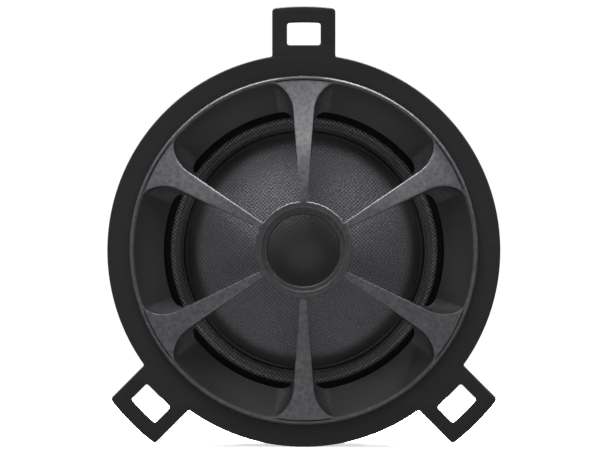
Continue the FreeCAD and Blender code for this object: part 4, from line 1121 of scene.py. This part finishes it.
    def hub(self, walls: dict[str, Points], face: Points, back: Points) -> Points:
        """One sixth of the hub ring, from the crown over two ridges, through the hole and round behind."""
        angle, radius = self.ring_columns(walls["front"], face, True)
        rear_angle, rear_radius = self.ring_columns(walls["rear"], back, True)
        profile = np.array(
            (
                (5.1, 5.945), (4.92, 5.935), (4.82, 5.932), (4.765, 5.94), (4.735, 5.948), (4.7, 5.95),
                (4.665, 5.938), (4.645, 5.9), (4.63, 5.84), (4.62, 5.75), (4.605, 5.67), (4.575, 5.625),
                (4.52, 5.607), (4.4, 5.6), (4.31, 5.6), (4.26, 5.61), (4.22, 5.625), (4.18, 5.628),
                (4.14, 5.615), (4.1, 5.58), (4.06, 5.52), (4.03, 5.45), (4.01, 5.35), (4.0, 5.2),
                (4.0, 5.0), (4.0, 4.0), (4.03, 3.93), (4.1, 3.9), (4.3, 3.9), (4.4, 3.95),
                (4.45, 4.05), (4.5, 4.6),
            )
        )
        share = np.linspace(0.0, 1.0, len(profile) + 2)[:, None]
        angles = angle * (1.0 - share) + rear_angle * share
        radii = np.concatenate((radius[None], np.repeat(profile[:, :1], len(angle), 1), rear_radius[None]))
        levels = np.repeat(profile[:, 1:], len(angle), 1)
        levels = np.concatenate((self.crown(radius)[None], levels, self.back(rear_radius)[None]))
        return polar(radii, angles, levels)

    def rim(self, walls: dict[str, Points], face: Points, back: Points) -> Points:
        """One sixth of the rim and barrel, from the crown over the lip, down the barrel and up the throat.

        A groove runs outside each spoke's end and fades out at the spoke's two tips.
        """
        angle, radius = self.ring_columns(walls["front"], face, False)
        rear_angle, _ = self.ring_columns(walls["rear"], back, False)
        across = np.abs(np.linspace(-1.0, 1.0, SPOKE_COLUMNS))
        groove = np.zeros(len(angle))
        groove[:SPOKE_COLUMNS] = ease((1.0 - across) / 0.2)
        drop = self.groove_depth * groove
        front = self.end_level
        rows = [
            (radius, front + 0.0 * angle, 0.0),
            (radius + 0.025 * groove, front - 0.3 * drop, 0.0),
            (radius + 0.035 * groove, front - 0.9 * drop, 0.0),
            (radius + 0.05 * groove, front - drop, 0.0),
        ]
        lip = np.array(
            (
                (19.06, 0.0), (19.075, 0.02), (19.09, 0.035), (19.115, 0.047), (19.15, 0.05), (19.2, 0.048),
                (19.24, 0.035), (19.28, 0.01), (19.33, -0.05), (19.37, -0.13), (19.4, -0.22), (19.415, -0.32),
            )
        )
        rows.append((np.full(len(angle), 19.045), front - 0.95 * drop, 0.0))
        rows.append((np.full(len(angle), 19.055), front - 0.5 * drop, 0.0))
        rows += [(np.full(len(angle), r), np.full(len(angle), front + z), 0.0) for r, z in lip]
        outside = (
            (self.rim_radius, 1.75, 0.0),
            (self.rim_radius, self.flange_level, 0.0),
            (self.barrel_radius, self.flange_level, 0.1),
            (self.barrel_radius, self.barrel_end, 0.3),
            (self.barrel_bore, self.barrel_end, 0.4),
            (self.barrel_bore, 0.035, 0.6),
            (self.throat_radius, -1.195, 0.8),
            (self.throat_radius, self.throat_end + 0.1, 0.9),
            (self.throat_radius - 0.1, self.throat_end, 0.93),
            (self.opening_radius + 0.12, self.throat_end, 0.96),
            (self.opening_radius + 0.04, self.throat_end + 0.04, 1.0),
            (self.opening_radius, self.throat_end + 0.12, 1.0),
            (self.opening_radius, -1.7, 1.0),
            (self.opening_radius, self.opening_level, 1.0),
        )
        rows += [(np.full(len(angle), r), np.full(len(angle), z), w) for r, z, w in outside]
        radii = np.stack([row[0] for row in rows])
        levels = np.stack([row[1] for row in rows])
        share = np.array([row[2] for row in rows])[:, None]
        return polar(radii, angle * (1.0 - share) + rear_angle * share, levels)

    def grain_and_light_share(self, spots: Points) -> Points:
        """How much of the paler skin each point has: all on the spokes' faces, none on the walls.

        The paler faces are partly a real grain and partly painted shade that keeps the recessed walls dark.
        The rim and the hub ring have part of it. The coves beside the spokes' outer ends have it as painted
        light on their flanks, with a painted shadow line next to each spoke's face.

        Args:
            spots: The grille's points.

        Returns:
            A number from 0 to 1 for each.
        """
        radius, level = off_axis(spots), spots[:, 2]
        sunk = self.crown(np.minimum(radius, self.end_radius)) - level
        # Paler on the crown's faces than on the recessed walls: partly grain, partly painted shade on the
        # walls.
        face = ease((0.2 - sunk) / 0.14)
        ring = (radius < self.hub_radius) & (radius > self.hub_hole + 0.1) & (level > self.hub_step)
        rim = (radius > self.lip_radius) & (level > self.flange_level)
        aside = np.degrees(np.arctan2(spots[:, 1], spots[:, 0])) % (360.0 / self.count) - 180.0 / self.count
        cove = (np.abs(aside) < self.flank_angle) & (radius > self.cove_start) & (radius < self.end_radius)
        cove &= level > self.opening_level - 0.1
        # Coves: painted light on the flanks beside each spoke's end, kept dark next to the spoke's face as a
        # painted shadow line.
        face = np.where(cove, np.maximum(face, self.ring_grain_and_cove_light * ease(sunk - 0.3)), face)
        return np.where(rim, self.rim_grain_and_light, np.where(ring, self.ring_grain_and_cove_light, face))

    def build(self) -> Piece:
        """Builds the grille from six equal sectors and three bosses behind."""
        walls = self.walls()
        face = self.face(self.spoke_edge(walls["front"]), self.end_radius, True)
        back = self.face(self.spoke_edge(walls["rear"]), self.opening_radius, False)
        half_pitch = 180.0 / self.count
        sheets = (
            (walls["grid"], True, 0.0),
            (face, False, -half_pitch),
            (back, False, -half_pitch),
            (self.hub(walls, face, back), False, 0.0),
            (self.rim(walls, face, back), False, 0.0),
        )
        shell = Shell()
        for sector in range(self.count):
            for grid, closed, lean in sheets:
                shell.add(turned(grid, lean + sector * 2.0 * half_pitch), closed)
        boss = rounded(
            (
                (self.boss_bore, self.barrel_end, 0.1),
                (self.boss_radius, self.barrel_end, 0.15),
                (self.boss_radius, self.boss_front, 0.0),
                (self.boss_bore, self.boss_front, 0.0),
            )
        )
        boss = np.concatenate((boss, boss[:1]))
        tube = polar(boss[:, :1], around(32), boss[:, 1:]) + (SCREW_DISTANCE, 0.0, 0.0)
        for angle in SCREW_ANGLES:
            shell.add(turned(tube, angle), closed=True)
        piece = shell.finish("spoked_grille", 48.0)
        paint(piece, "grain_and_painted_light", self.grain_and_light_share(drawn_points(piece)))
        settle(piece, GRILLE_ABS, ["front_grille"])
        return piece


@dataclass
class Dome:
    """Thin spherical cap of woven cloth with a glued base flange. Sizes in mm."""

    radius: float = 12.94
    apex: float = 3.5
    base: float = -2.8
    inner_radius: float = 12.68
    inner_apex: float = 3.3
    flange_radius: float = 13.3
    flange_thickness: float = 0.15
    edge: float = 0.03
    glue_and_shade_start: float = 11.2
    glue_and_shade_end: float = 12.6
    painted_shade_radius: float = 3.9
    painted_shade_strength: float = 0.82

    def cap(self, radius: float, apex: float, steps: int) -> Points:
        """Profile of a spherical cap: its sphere's radius is (radius^2 + rise^2) / (2 rise)."""
        rise = apex - self.base
        ball = (radius**2 + rise**2) / (2.0 * rise)
        lean = np.linspace(0.0, math.asin(radius / ball), steps)
        return np.stack((ball * np.sin(lean), apex - ball + ball * np.cos(lean)), axis=-1)

    def build(self) -> Piece:
        """Builds the cap, its flange and its inner face as one closed mesh."""
        outer = self.cap(self.radius, self.apex, 72)
        inner = self.cap(self.inner_radius, self.inner_apex, 36)[::-1]
        under = self.base - self.flange_thickness
        foot = np.array(
            (
                (self.radius + 0.1, self.base + 0.01),
                (self.flange_radius - self.edge, self.base),
                (self.flange_radius, self.base - self.edge),
                (self.flange_radius, under + self.edge),
                (self.flange_radius - self.edge, under),
                (self.inner_radius, under),
            )
        )
        shell = Shell()
        shell.revolve(np.concatenate((outer, foot, inner)), 240, closed=False)
        piece = shell.finish("woven_dome", 50.0)
        spots = drawn_points(piece)
        radius = off_axis(spots)
        # Darker towards the foot: glue soaked into the seam, and painted shade of the deep valley between
        # dome and surround.
        seam = ease((radius - self.glue_and_shade_start) / (self.glue_and_shade_end - self.glue_and_shade_start))
        # Painted shade: a dark disc on the apex stands in for the hub ring's shadow.
        spot = self.painted_shade_strength * (1.0 - ease((radius - self.painted_shade_radius) / 0.7))
        paint(piece, "glue_and_painted_light", np.maximum(seam, spot))
        settle(piece, DOME_CLOTH, ["dome_diaphragm"], DIAPHRAGM)
        return piece


@dataclass
class Surround:
    """Half-roll of woven cloth between the dome's foot and the carrier. Sizes in mm."""

    inner: float = 12.96
    outer: float = 16.3
    roll_start: float = 13.55
    roll_end: float = 14.98
    roll_foot: float = -2.78
    roll_height: float = 0.85
    hollow_start: float = 13.68
    hollow_end: float = 14.82
    hollow_level: float = -2.8
    hollow_bend: float = 0.6
    lip_top: float = -3.3
    lip_under: float = -3.5
    edge: float = 0.05
    foot_end: float = 13.6
    crest: float = 14.35
    wall_start: float = 14.9

    def profile(self) -> Points:
        """The closed section: inner lip, roll, leg and outer lip, and back along the underside.

        The roll is a half superellipse: half its width times cos^0.7 across and its height times sin^0.7 up.
        """
        turn = np.linspace(math.pi, 0.0, 40)
        across = np.sign(np.cos(turn)) * np.abs(np.cos(turn)) ** 0.7
        middle, half = (self.roll_end + self.roll_start) / 2.0, (self.roll_end - self.roll_start) / 2.0
        rise = self.roll_height * np.clip(np.sin(turn), 0.0, 1.0) ** 0.7
        roll = np.stack((middle + half * across, self.roll_foot + rise), axis=-1)
        hollow = arc_between(
            (self.hollow_end, self.hollow_level), (self.hollow_start, self.hollow_level), self.hollow_bend, 24
        )
        start = np.array(((self.inner, self.hollow_level), (self.inner, -2.65)))
        lip = (self.inner + 0.05, -2.6), (13.15, -2.6), (13.35, -2.68)
        leg = (
            (14.98, -3.0), (14.99, -3.2), (15.03, -3.28), (15.12, self.lip_top),
            (self.outer - self.edge, self.lip_top), (self.outer, self.lip_top - self.edge),
            (self.outer, self.lip_under + self.edge), (self.outer - self.edge, self.lip_under),
            (14.88, self.lip_under), (self.hollow_end, -3.4), (self.hollow_end, -3.1),
        )
        return np.concatenate((start, np.array(lip), roll, np.array(leg), hollow))

    def build(self) -> Piece:
        """Builds the ring, which bends between the fixed lip and the moving roll.

        The mesh darkens the foot with glue and painted shade, the inner side of the roll with lighter painted
        shade and the outer wall with painted shade under the grille's opening, and paints a highlight past
        the crest.
        """
        shell = Shell()
        shell.revolve(self.profile(), 300)
        piece = shell.finish("woven_surround", 60.0)
        spots = drawn_points(piece)
        radius = off_axis(spots)
        # Darker up to the crest: glue and painted shade at the foot, lighter painted shade over the roll's
        # inner side.
        inside = 1.0 - 0.6 * ease((radius - self.foot_end) / 0.25)
        # Painted highlight: paler past the crest.
        painted_highlight = 1.3 * ease((radius - self.crest) / 0.3)
        # Painted shade: the outer wall goes near black, as in the shade under the grille's opening.
        outside = 2.0 * ease((radius - self.wall_start) / 0.06)
        paint(piece, "glue_and_painted_light", np.minimum(inside - painted_highlight + outside, 1.0))
        settle(piece, ROLL_CLOTH, ["surround"], None)
        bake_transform(piece)
        return piece


class Side(Enum):
    """The two sides of the coil, and the sign of x there."""

    POSITIVE = 1.0
    NEGATIVE = -1.0


@dataclass
class TinselLead:
    """A braided lead from the coil former to its eyelet. Sizes in mm."""

    side: Side
    radius: float = 0.1
    start: float = 12.82
    drop_start: float = 13.5
    drop_end: float = 14.2
    end: float = 16.5
    level: float = -3.3
    rest_level: float = -3.62
    strand: float = 0.3

    def build(self) -> Piece:
        """Builds a tube along the lead whose skin has five twisted strands.

        The middle line falls by a smooth step between drop_start and drop_end. A point at angle a round
        the tube stands off by the radius times 0.9 + 0.1 |cos(5 a / 2 + twist)|.
        """
        along = np.linspace(self.start, self.end, 100)[:, None]
        fall = ease((along - self.drop_start) / (self.drop_end - self.drop_start))
        level = self.level + (self.rest_level - self.level) * fall
        angle = around(20)[None, :]
        twist = along / self.strand * math.pi
        reach = self.radius * (0.9 + 0.1 * np.abs(np.cos(2.5 * angle + twist)))
        reach[[0, -1]] = 0.0
        axes = (along * self.side.value, reach * np.cos(angle), level + reach * np.sin(angle))
        shell = Shell()
        shell.add(np.stack(np.broadcast_arrays(*axes), axis=-1), closed=True)
        name = self.side.name.lower()
        piece = shell.finish(f"tinsel_lead_{name}", 70.0)
        settle(piece, TINSEL, [f"lead_{name}"], None)
        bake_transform(piece)
        return piece


# ---------------------------------------------------------------- rear pieces


@dataclass
class RearHousing:
    """Closed rear chamber with a screw flange and strengthening ribs. Sizes in mm."""

    radius: float = 16.15
    flange_radius: float = 19.6
    front: float = -4.4
    flange_back: float = -5.8
    rear: float = -15.5
    bore: float = 15.0
    floor: float = -14.3
    ledge: float = -11.0
    ledge_radius: float = 14.2
    seal_radius: float = 18.8
    core: float = 8.0
    rib_angles: tuple[float, ...] = (0.0, 60.0, 90.0, 120.0, 180.0, 210.0, 240.0, 300.0, 330.0)
    rib_half_width: float = 0.45
    rib_edge: float = 0.12
    rib_reach: float = 18.9
    rib_end: float = -10.2

    def rib(self) -> Points:
        """One triangular rib between wall and flange, along +x, closed from one face to the other.

        Each ring is the outline shrunk by a share towards its middle, moved in by an inset, at its own side.
        """
        inside = self.flange_back + 0.3
        outline = rounded(
            (
                (self.radius - 0.4, inside, 0.0),
                (self.radius - 0.4, self.rib_end, 0.0),
                (self.radius, self.rib_end, 0.3),
                (self.rib_reach, self.flange_back - 0.7, 0.5),
                (self.rib_reach, inside, 0.0),
            ),
            6,
        )
        inward = offset_from(outline)
        middle = outline.mean(axis=0)
        half = self.rib_half_width
        edge = self.rib_edge
        lower = ((0.0, 0.0, -half), (1.0, edge, -half), (1.0, 0.0, edge - half))
        upper = ((1.0, 0.0, half - edge), (1.0, edge, half), (0.0, 0.0, half))
        rows = []
        for share, inset, side in lower + upper:
            flat = middle + (outline + inward * inset - middle) * share
            rows.append(np.stack((flat[:, 0], np.full(len(flat), side), flat[:, 1]), axis=-1))
        return np.stack(rows)

    def build(self) -> Piece:
        """Builds the chamber as one turned section, outside, seal rebate and inside, with its ribs."""
        section = rounded(
            (
                (self.core, self.rear, 0.0),
                (self.radius, self.rear, 0.6),
                (self.radius, self.flange_back, 0.25),
                (self.flange_radius, self.flange_back, 0.2),
                (self.flange_radius, self.front - 0.4, 0.05),
                (self.seal_radius, self.front - 0.4, 0.05),
                (self.seal_radius, self.front, 0.05),
                (self.bore, self.front, 0.1),
                (self.bore, self.ledge, 0.05),
                (self.ledge_radius, self.ledge, 0.05),
                (self.ledge_radius, self.floor, 0.4),
                (self.core, self.floor, 0.0),
            )
        )[4:-4]
        section = np.concatenate((((0.0, self.rear),), section, ((0.0, self.floor),)))
        shell = Shell()
        shell.revolve(section, 192, closed=False)
        rib = self.rib()
        for angle in self.rib_angles:
            shell.add(turned(rib, angle), closed=True)
        piece = shell.finish("rear_chamber", 40.0)
        keep_flats_flat(piece)
        settle(piece, HOUSING_ABS, ["rear_housing"])
        return piece


@dataclass
class HousingScrews:
    """Three pan-head screws with a cross recess. Sizes in mm."""

    head: float = 1.35
    head_height: float = 1.0
    seat: float = -5.8
    shank: float = 0.8
    tip: float = 0.6
    slot_half_length: float = 0.75
    slot_half_width: float = 0.17
    slot_depth: float = 0.6
    slot_slope: float = 0.06

    def head_grid(self) -> Points:
        """The head's top: a flattened dome, sunk inside the cross.

        The dome falls by 0.35 mm times (r / R)^4; the cross sinks it by a smooth step across its walls.
        """
        radius = np.linspace(0.0, self.head, 40)[:, None]
        angle = around(96)[None, :]
        x, y = radius * np.cos(angle), radius * np.sin(angle)
        dome = -0.35 * (radius / self.head) ** 4
        soft = self.slot_slope
        along = [ease((self.slot_half_length - np.abs(p)) / soft) for p in (x, y)]
        aside = [ease((self.slot_half_width + soft - np.abs(p)) / soft) for p in (y, x)]
        cut = np.maximum(along[0] * aside[0], along[1] * aside[1])
        level = self.seat - self.head_height - dome + cut * self.slot_depth
        return np.stack((x, y, level), axis=-1)

    def build(self) -> Piece:
        """Builds one screw and turns it into its three places."""
        top = self.head_grid()
        edge = top[-1, 0, 2]
        profile = np.array(
            (
                (self.head, edge), (self.head, self.seat - 0.05), (self.head - 0.05, self.seat),
                (self.shank, self.seat), (self.shank, self.tip - 0.5), (0.3, self.tip), (0.0, self.tip),
            )
        )
        side = polar(profile[:, :1], around(96), profile[:, 1:])
        shell = Shell()
        for angle in SCREW_ANGLES:
            for grid in (top, side):
                shell.add(turned(grid + (SCREW_DISTANCE, 0.0, 0.0), angle), closed=True)
        piece = shell.finish("chamber_screws", 40.0)
        settle(piece, SCREW_STEEL, ["housing_screws"])
        return piece


@dataclass
class Capacitor:
    """Bipolar capacitor in a shrunk sleeve, lying across the rear. Sizes in mm."""

    half_length: float = 5.5
    radius: float = 2.5
    height: float = -8.0
    level: float = -18.05
    crimp: float = 3.9
    edge: float = 0.45

    def build(self) -> Piece:
        """Builds the can: end discs, rolled sleeve ends and the crimped groove, turned about x."""
        half, full = self.half_length, self.radius
        outline = np.array(
            (
                (-half, 0.0), (-half, 1.75), (-half + 0.02, 1.85), (-half, 1.95), (-half, full - 0.35),
                (-half + 0.03, full - 0.2), (-half + 0.12, full - 0.07), (-half + 0.3, full), (0.0, full),
                (self.crimp - 0.6, full), (self.crimp - 0.35, full - 0.06), (self.crimp - 0.15, full - 0.25),
                (self.crimp, full - 0.3), (self.crimp + 0.15, full - 0.25), (self.crimp + 0.35, full - 0.06),
                (self.crimp + 0.55, full), (half - 0.3, full), (half - 0.12, full - 0.07),
                (half - 0.03, full - 0.2), (half, full - 0.35), (half, 1.95), (half - 0.12, 1.85),
                (half - 0.15, 1.6), (half - 0.15, 0.5), (half - 0.05, 0.4), (half - 0.05, 0.0),
            )
        )
        turn = around(64)[None, :]
        along, reach = outline[:, :1], outline[:, 1:]
        axes = (along, self.height + reach * np.cos(turn), self.level + reach * np.sin(turn))
        shell = Shell()
        shell.add(np.stack(np.broadcast_arrays(*axes), axis=-1), closed=True)
        piece = shell.finish("sleeved_capacitor", 40.0)
        settle(piece, SLEEVE, ["highpass_capacitor"])
        return piece


@dataclass
class BlankLabel:
    """Plain film label with round corners on the housing's rear. Sizes in mm."""

    half_width: float = 6.0
    low: float = 6.2
    high: float = 11.8
    front: float = -15.5
    thickness: float = 0.1
    corner: float = 0.8

    def build(self) -> Piece:
        """Builds the film: rings that shrink from its rounded edge to its middle, raised by its thickness."""
        edge = rounded(
            (
                (-self.half_width, self.low, self.corner),
                (self.half_width, self.low, self.corner),
                (self.half_width, self.high, self.corner),
                (-self.half_width, self.high, self.corner),
            ),
            8,
        )
        middle = np.array((0.0, (self.low + self.high) / 2.0))
        rings = ((0.0, 0.0), (1.0, 0.0), (1.0, 0.7), (0.996, 1.0), (0.6, 1.0), (0.0, 1.0))
        flat = np.stack([middle + (edge - middle) * share for share, _ in rings])
        rise = np.array([height for _, height in rings])[:, None, None]
        level = np.broadcast_to(self.front - rise * self.thickness, flat.shape[:2] + (1,))
        shell = Shell()
        shell.add(np.concatenate((flat, level), axis=-1), closed=True)
        piece = shell.finish("plain_label", 40.0)
        settle(piece, LABEL_FILM, ["blank_label"])
        return piece


# ---------------------------------------------------------------- studio


@dataclass
class Studio:
    """Pale floor, pale surroundings, soft lights and a long-lens camera. Lengths in metres."""

    floor_size: float = 0.5
    distance: float = 0.6
    azimuth: float = 0.4
    elevation: float = -0.6
    frame_width: float = 0.0679
    aim: tuple[float, float, float] = (0.00014, -0.002, 0.00281)

    def floor(self, level: float) -> None:
        """Lays a fine sheet of pale matt board at that level, under the object."""
        steps = np.linspace(-self.floor_size / 2.0, self.floor_size / 2.0, 9)
        x, y = np.meshgrid(steps, steps)
        shell = Shell()
        shell.add(np.stack((x, y, np.full_like(x, level)), axis=-1))
        sheet = shell.finish("studio_floor", stand=False)
        paper = PaleBoard("pale_board_matt", "#f4f4f3", 0.9, 0.8, 0.02, 0.01)
        sheet.data.materials.append(paper.material())
        # The board shows and takes shadows, but throws no light back and lets the light below it through.
        sheet.visible_diffuse = False
        sheet.visible_glossy = False
        sheet.visible_shadow = False
        sheet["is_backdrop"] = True

    def light(self, name: str, place: Sequence[float], size: Sequence[float], power: float) -> None:
        """Hangs a soft rectangular light that faces the object.

        Args:
            name: Name of the light.
            place: Its middle.
            size: Its two sides.
            power: Its power in watts.
        """
        lamp = bpy.data.lights.new(name, "AREA")
        lamp.shape = "RECTANGLE"
        lamp.size, lamp.size_y = size
        lamp.energy = power
        holder = bpy.data.objects.new(name, lamp)
        holder.location = place
        holder.rotation_euler = (-Vector(place)).to_track_quat("-Z", "Y").to_euler()
        bpy.context.scene.collection.objects.link(holder)

    def surroundings(self) -> None:
        """Makes the pale backdrop, bright to the lens and dim as a light."""
        world = bpy.data.worlds.new("pale_studio")
        world.use_nodes = True
        tree = world.node_tree
        tree.nodes.clear()
        seen = add(tree, "LightPath").outputs["Is Camera Ray"]
        glow = {"Value": seen, "To Min": 0.25, "To Max": 1.05}
        strength = add(tree, "MapRange", glow).outputs["Result"]
        sky = add(tree, "Background", {"Color": (1.0, 1.0, 1.0, 1.0), "Strength": strength})
        add(tree, "OutputWorld", {"Surface": sky.outputs["Background"]})
        bpy.context.scene.world = world

    def camera(self) -> None:
        """Sets the camera on its azimuth and elevation round the aim, with a lens that frames the object."""
        turn, rise = math.radians(self.azimuth), math.radians(self.elevation)
        back = Vector((math.sin(turn) * math.cos(rise), -math.cos(turn) * math.cos(rise), math.sin(rise)))
        lens = bpy.data.cameras.new("long_lens")
        lens.sensor_width = 36.0
        lens.lens = 36.0 * self.distance / self.frame_width
        lens.clip_start = 0.05
        lens.clip_end = 10.0
        holder = bpy.data.objects.new("camera", lens)
        holder.location = Vector(self.aim) + back * self.distance
        holder.rotation_euler = back.to_track_quat("Z", "Y").to_euler()
        bpy.context.scene.collection.objects.link(holder)
        bpy.context.scene.camera = holder

    def build(self, level: float) -> None:
        """Sets up everything round the object.

        Args:
            level: Height of the floor.
        """
        self.floor(level)
        self.light("rim_softbox", (0.02, 0.2, 0.88), (1.0, 0.2), 76.0)
        self.light("overhead_softbox", (-0.02, 0.03, 0.9), (1.0, 0.26), 15.5)
        self.light("front_softbox", (-0.06, -0.4, 0.8), (1.0, 0.4), 4.0)
        self.light("floor_bounce", (0.0, -0.45, -0.45), (0.9, 0.4), 1.2)
        self.light("left_strip", (-0.7, -0.45, 0.1), (0.3, 0.5), 0.75)
        self.light("right_strip", (0.7, -0.45, 0.1), (0.3, 0.5), 0.7)
        self.surroundings()
        self.camera()
        scene = bpy.context.scene
        scene.view_settings.view_transform = "Standard"
        scene.view_settings.look = "None"


# ---------------------------------------------------------------- the whole tweeter


def dress_carried_over(nodes: dict[str, Piece]) -> None:
    """Gives every CAD node that stays its finish.

    Args:
        nodes: The CAD nodes by name.
    """
    for name, finish in CARRIED_OVER.items():
        mesh = nodes[name].data
        mesh.materials.clear()
        mesh.materials.append(finish.material())
        LOG.info("%s: %s", name, finish.name)


def main() -> None:
    """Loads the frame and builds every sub-assembly around it."""
    logging.basicConfig(level=logging.INFO, format="%(message)s")
    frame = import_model()
    cad_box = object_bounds()
    level = cad_box[0][2]
    Studio().build(level)
    pieces = [
        MountingBracket(),
        FrontGrille(),
        Dome(),
        Surround(),
        TinselLead(Side.POSITIVE),
        TinselLead(Side.NEGATIVE),
        RearHousing(),
        HousingScrews(),
        Capacitor(),
        BlankLabel(),
    ]
    for piece in pieces:
        made = piece.build()
        LOG.info("built %s as %s", type(piece).__name__, made.name)
    dress_carried_over(frame["nodes"])


if __name__ == "__main__":
    main()
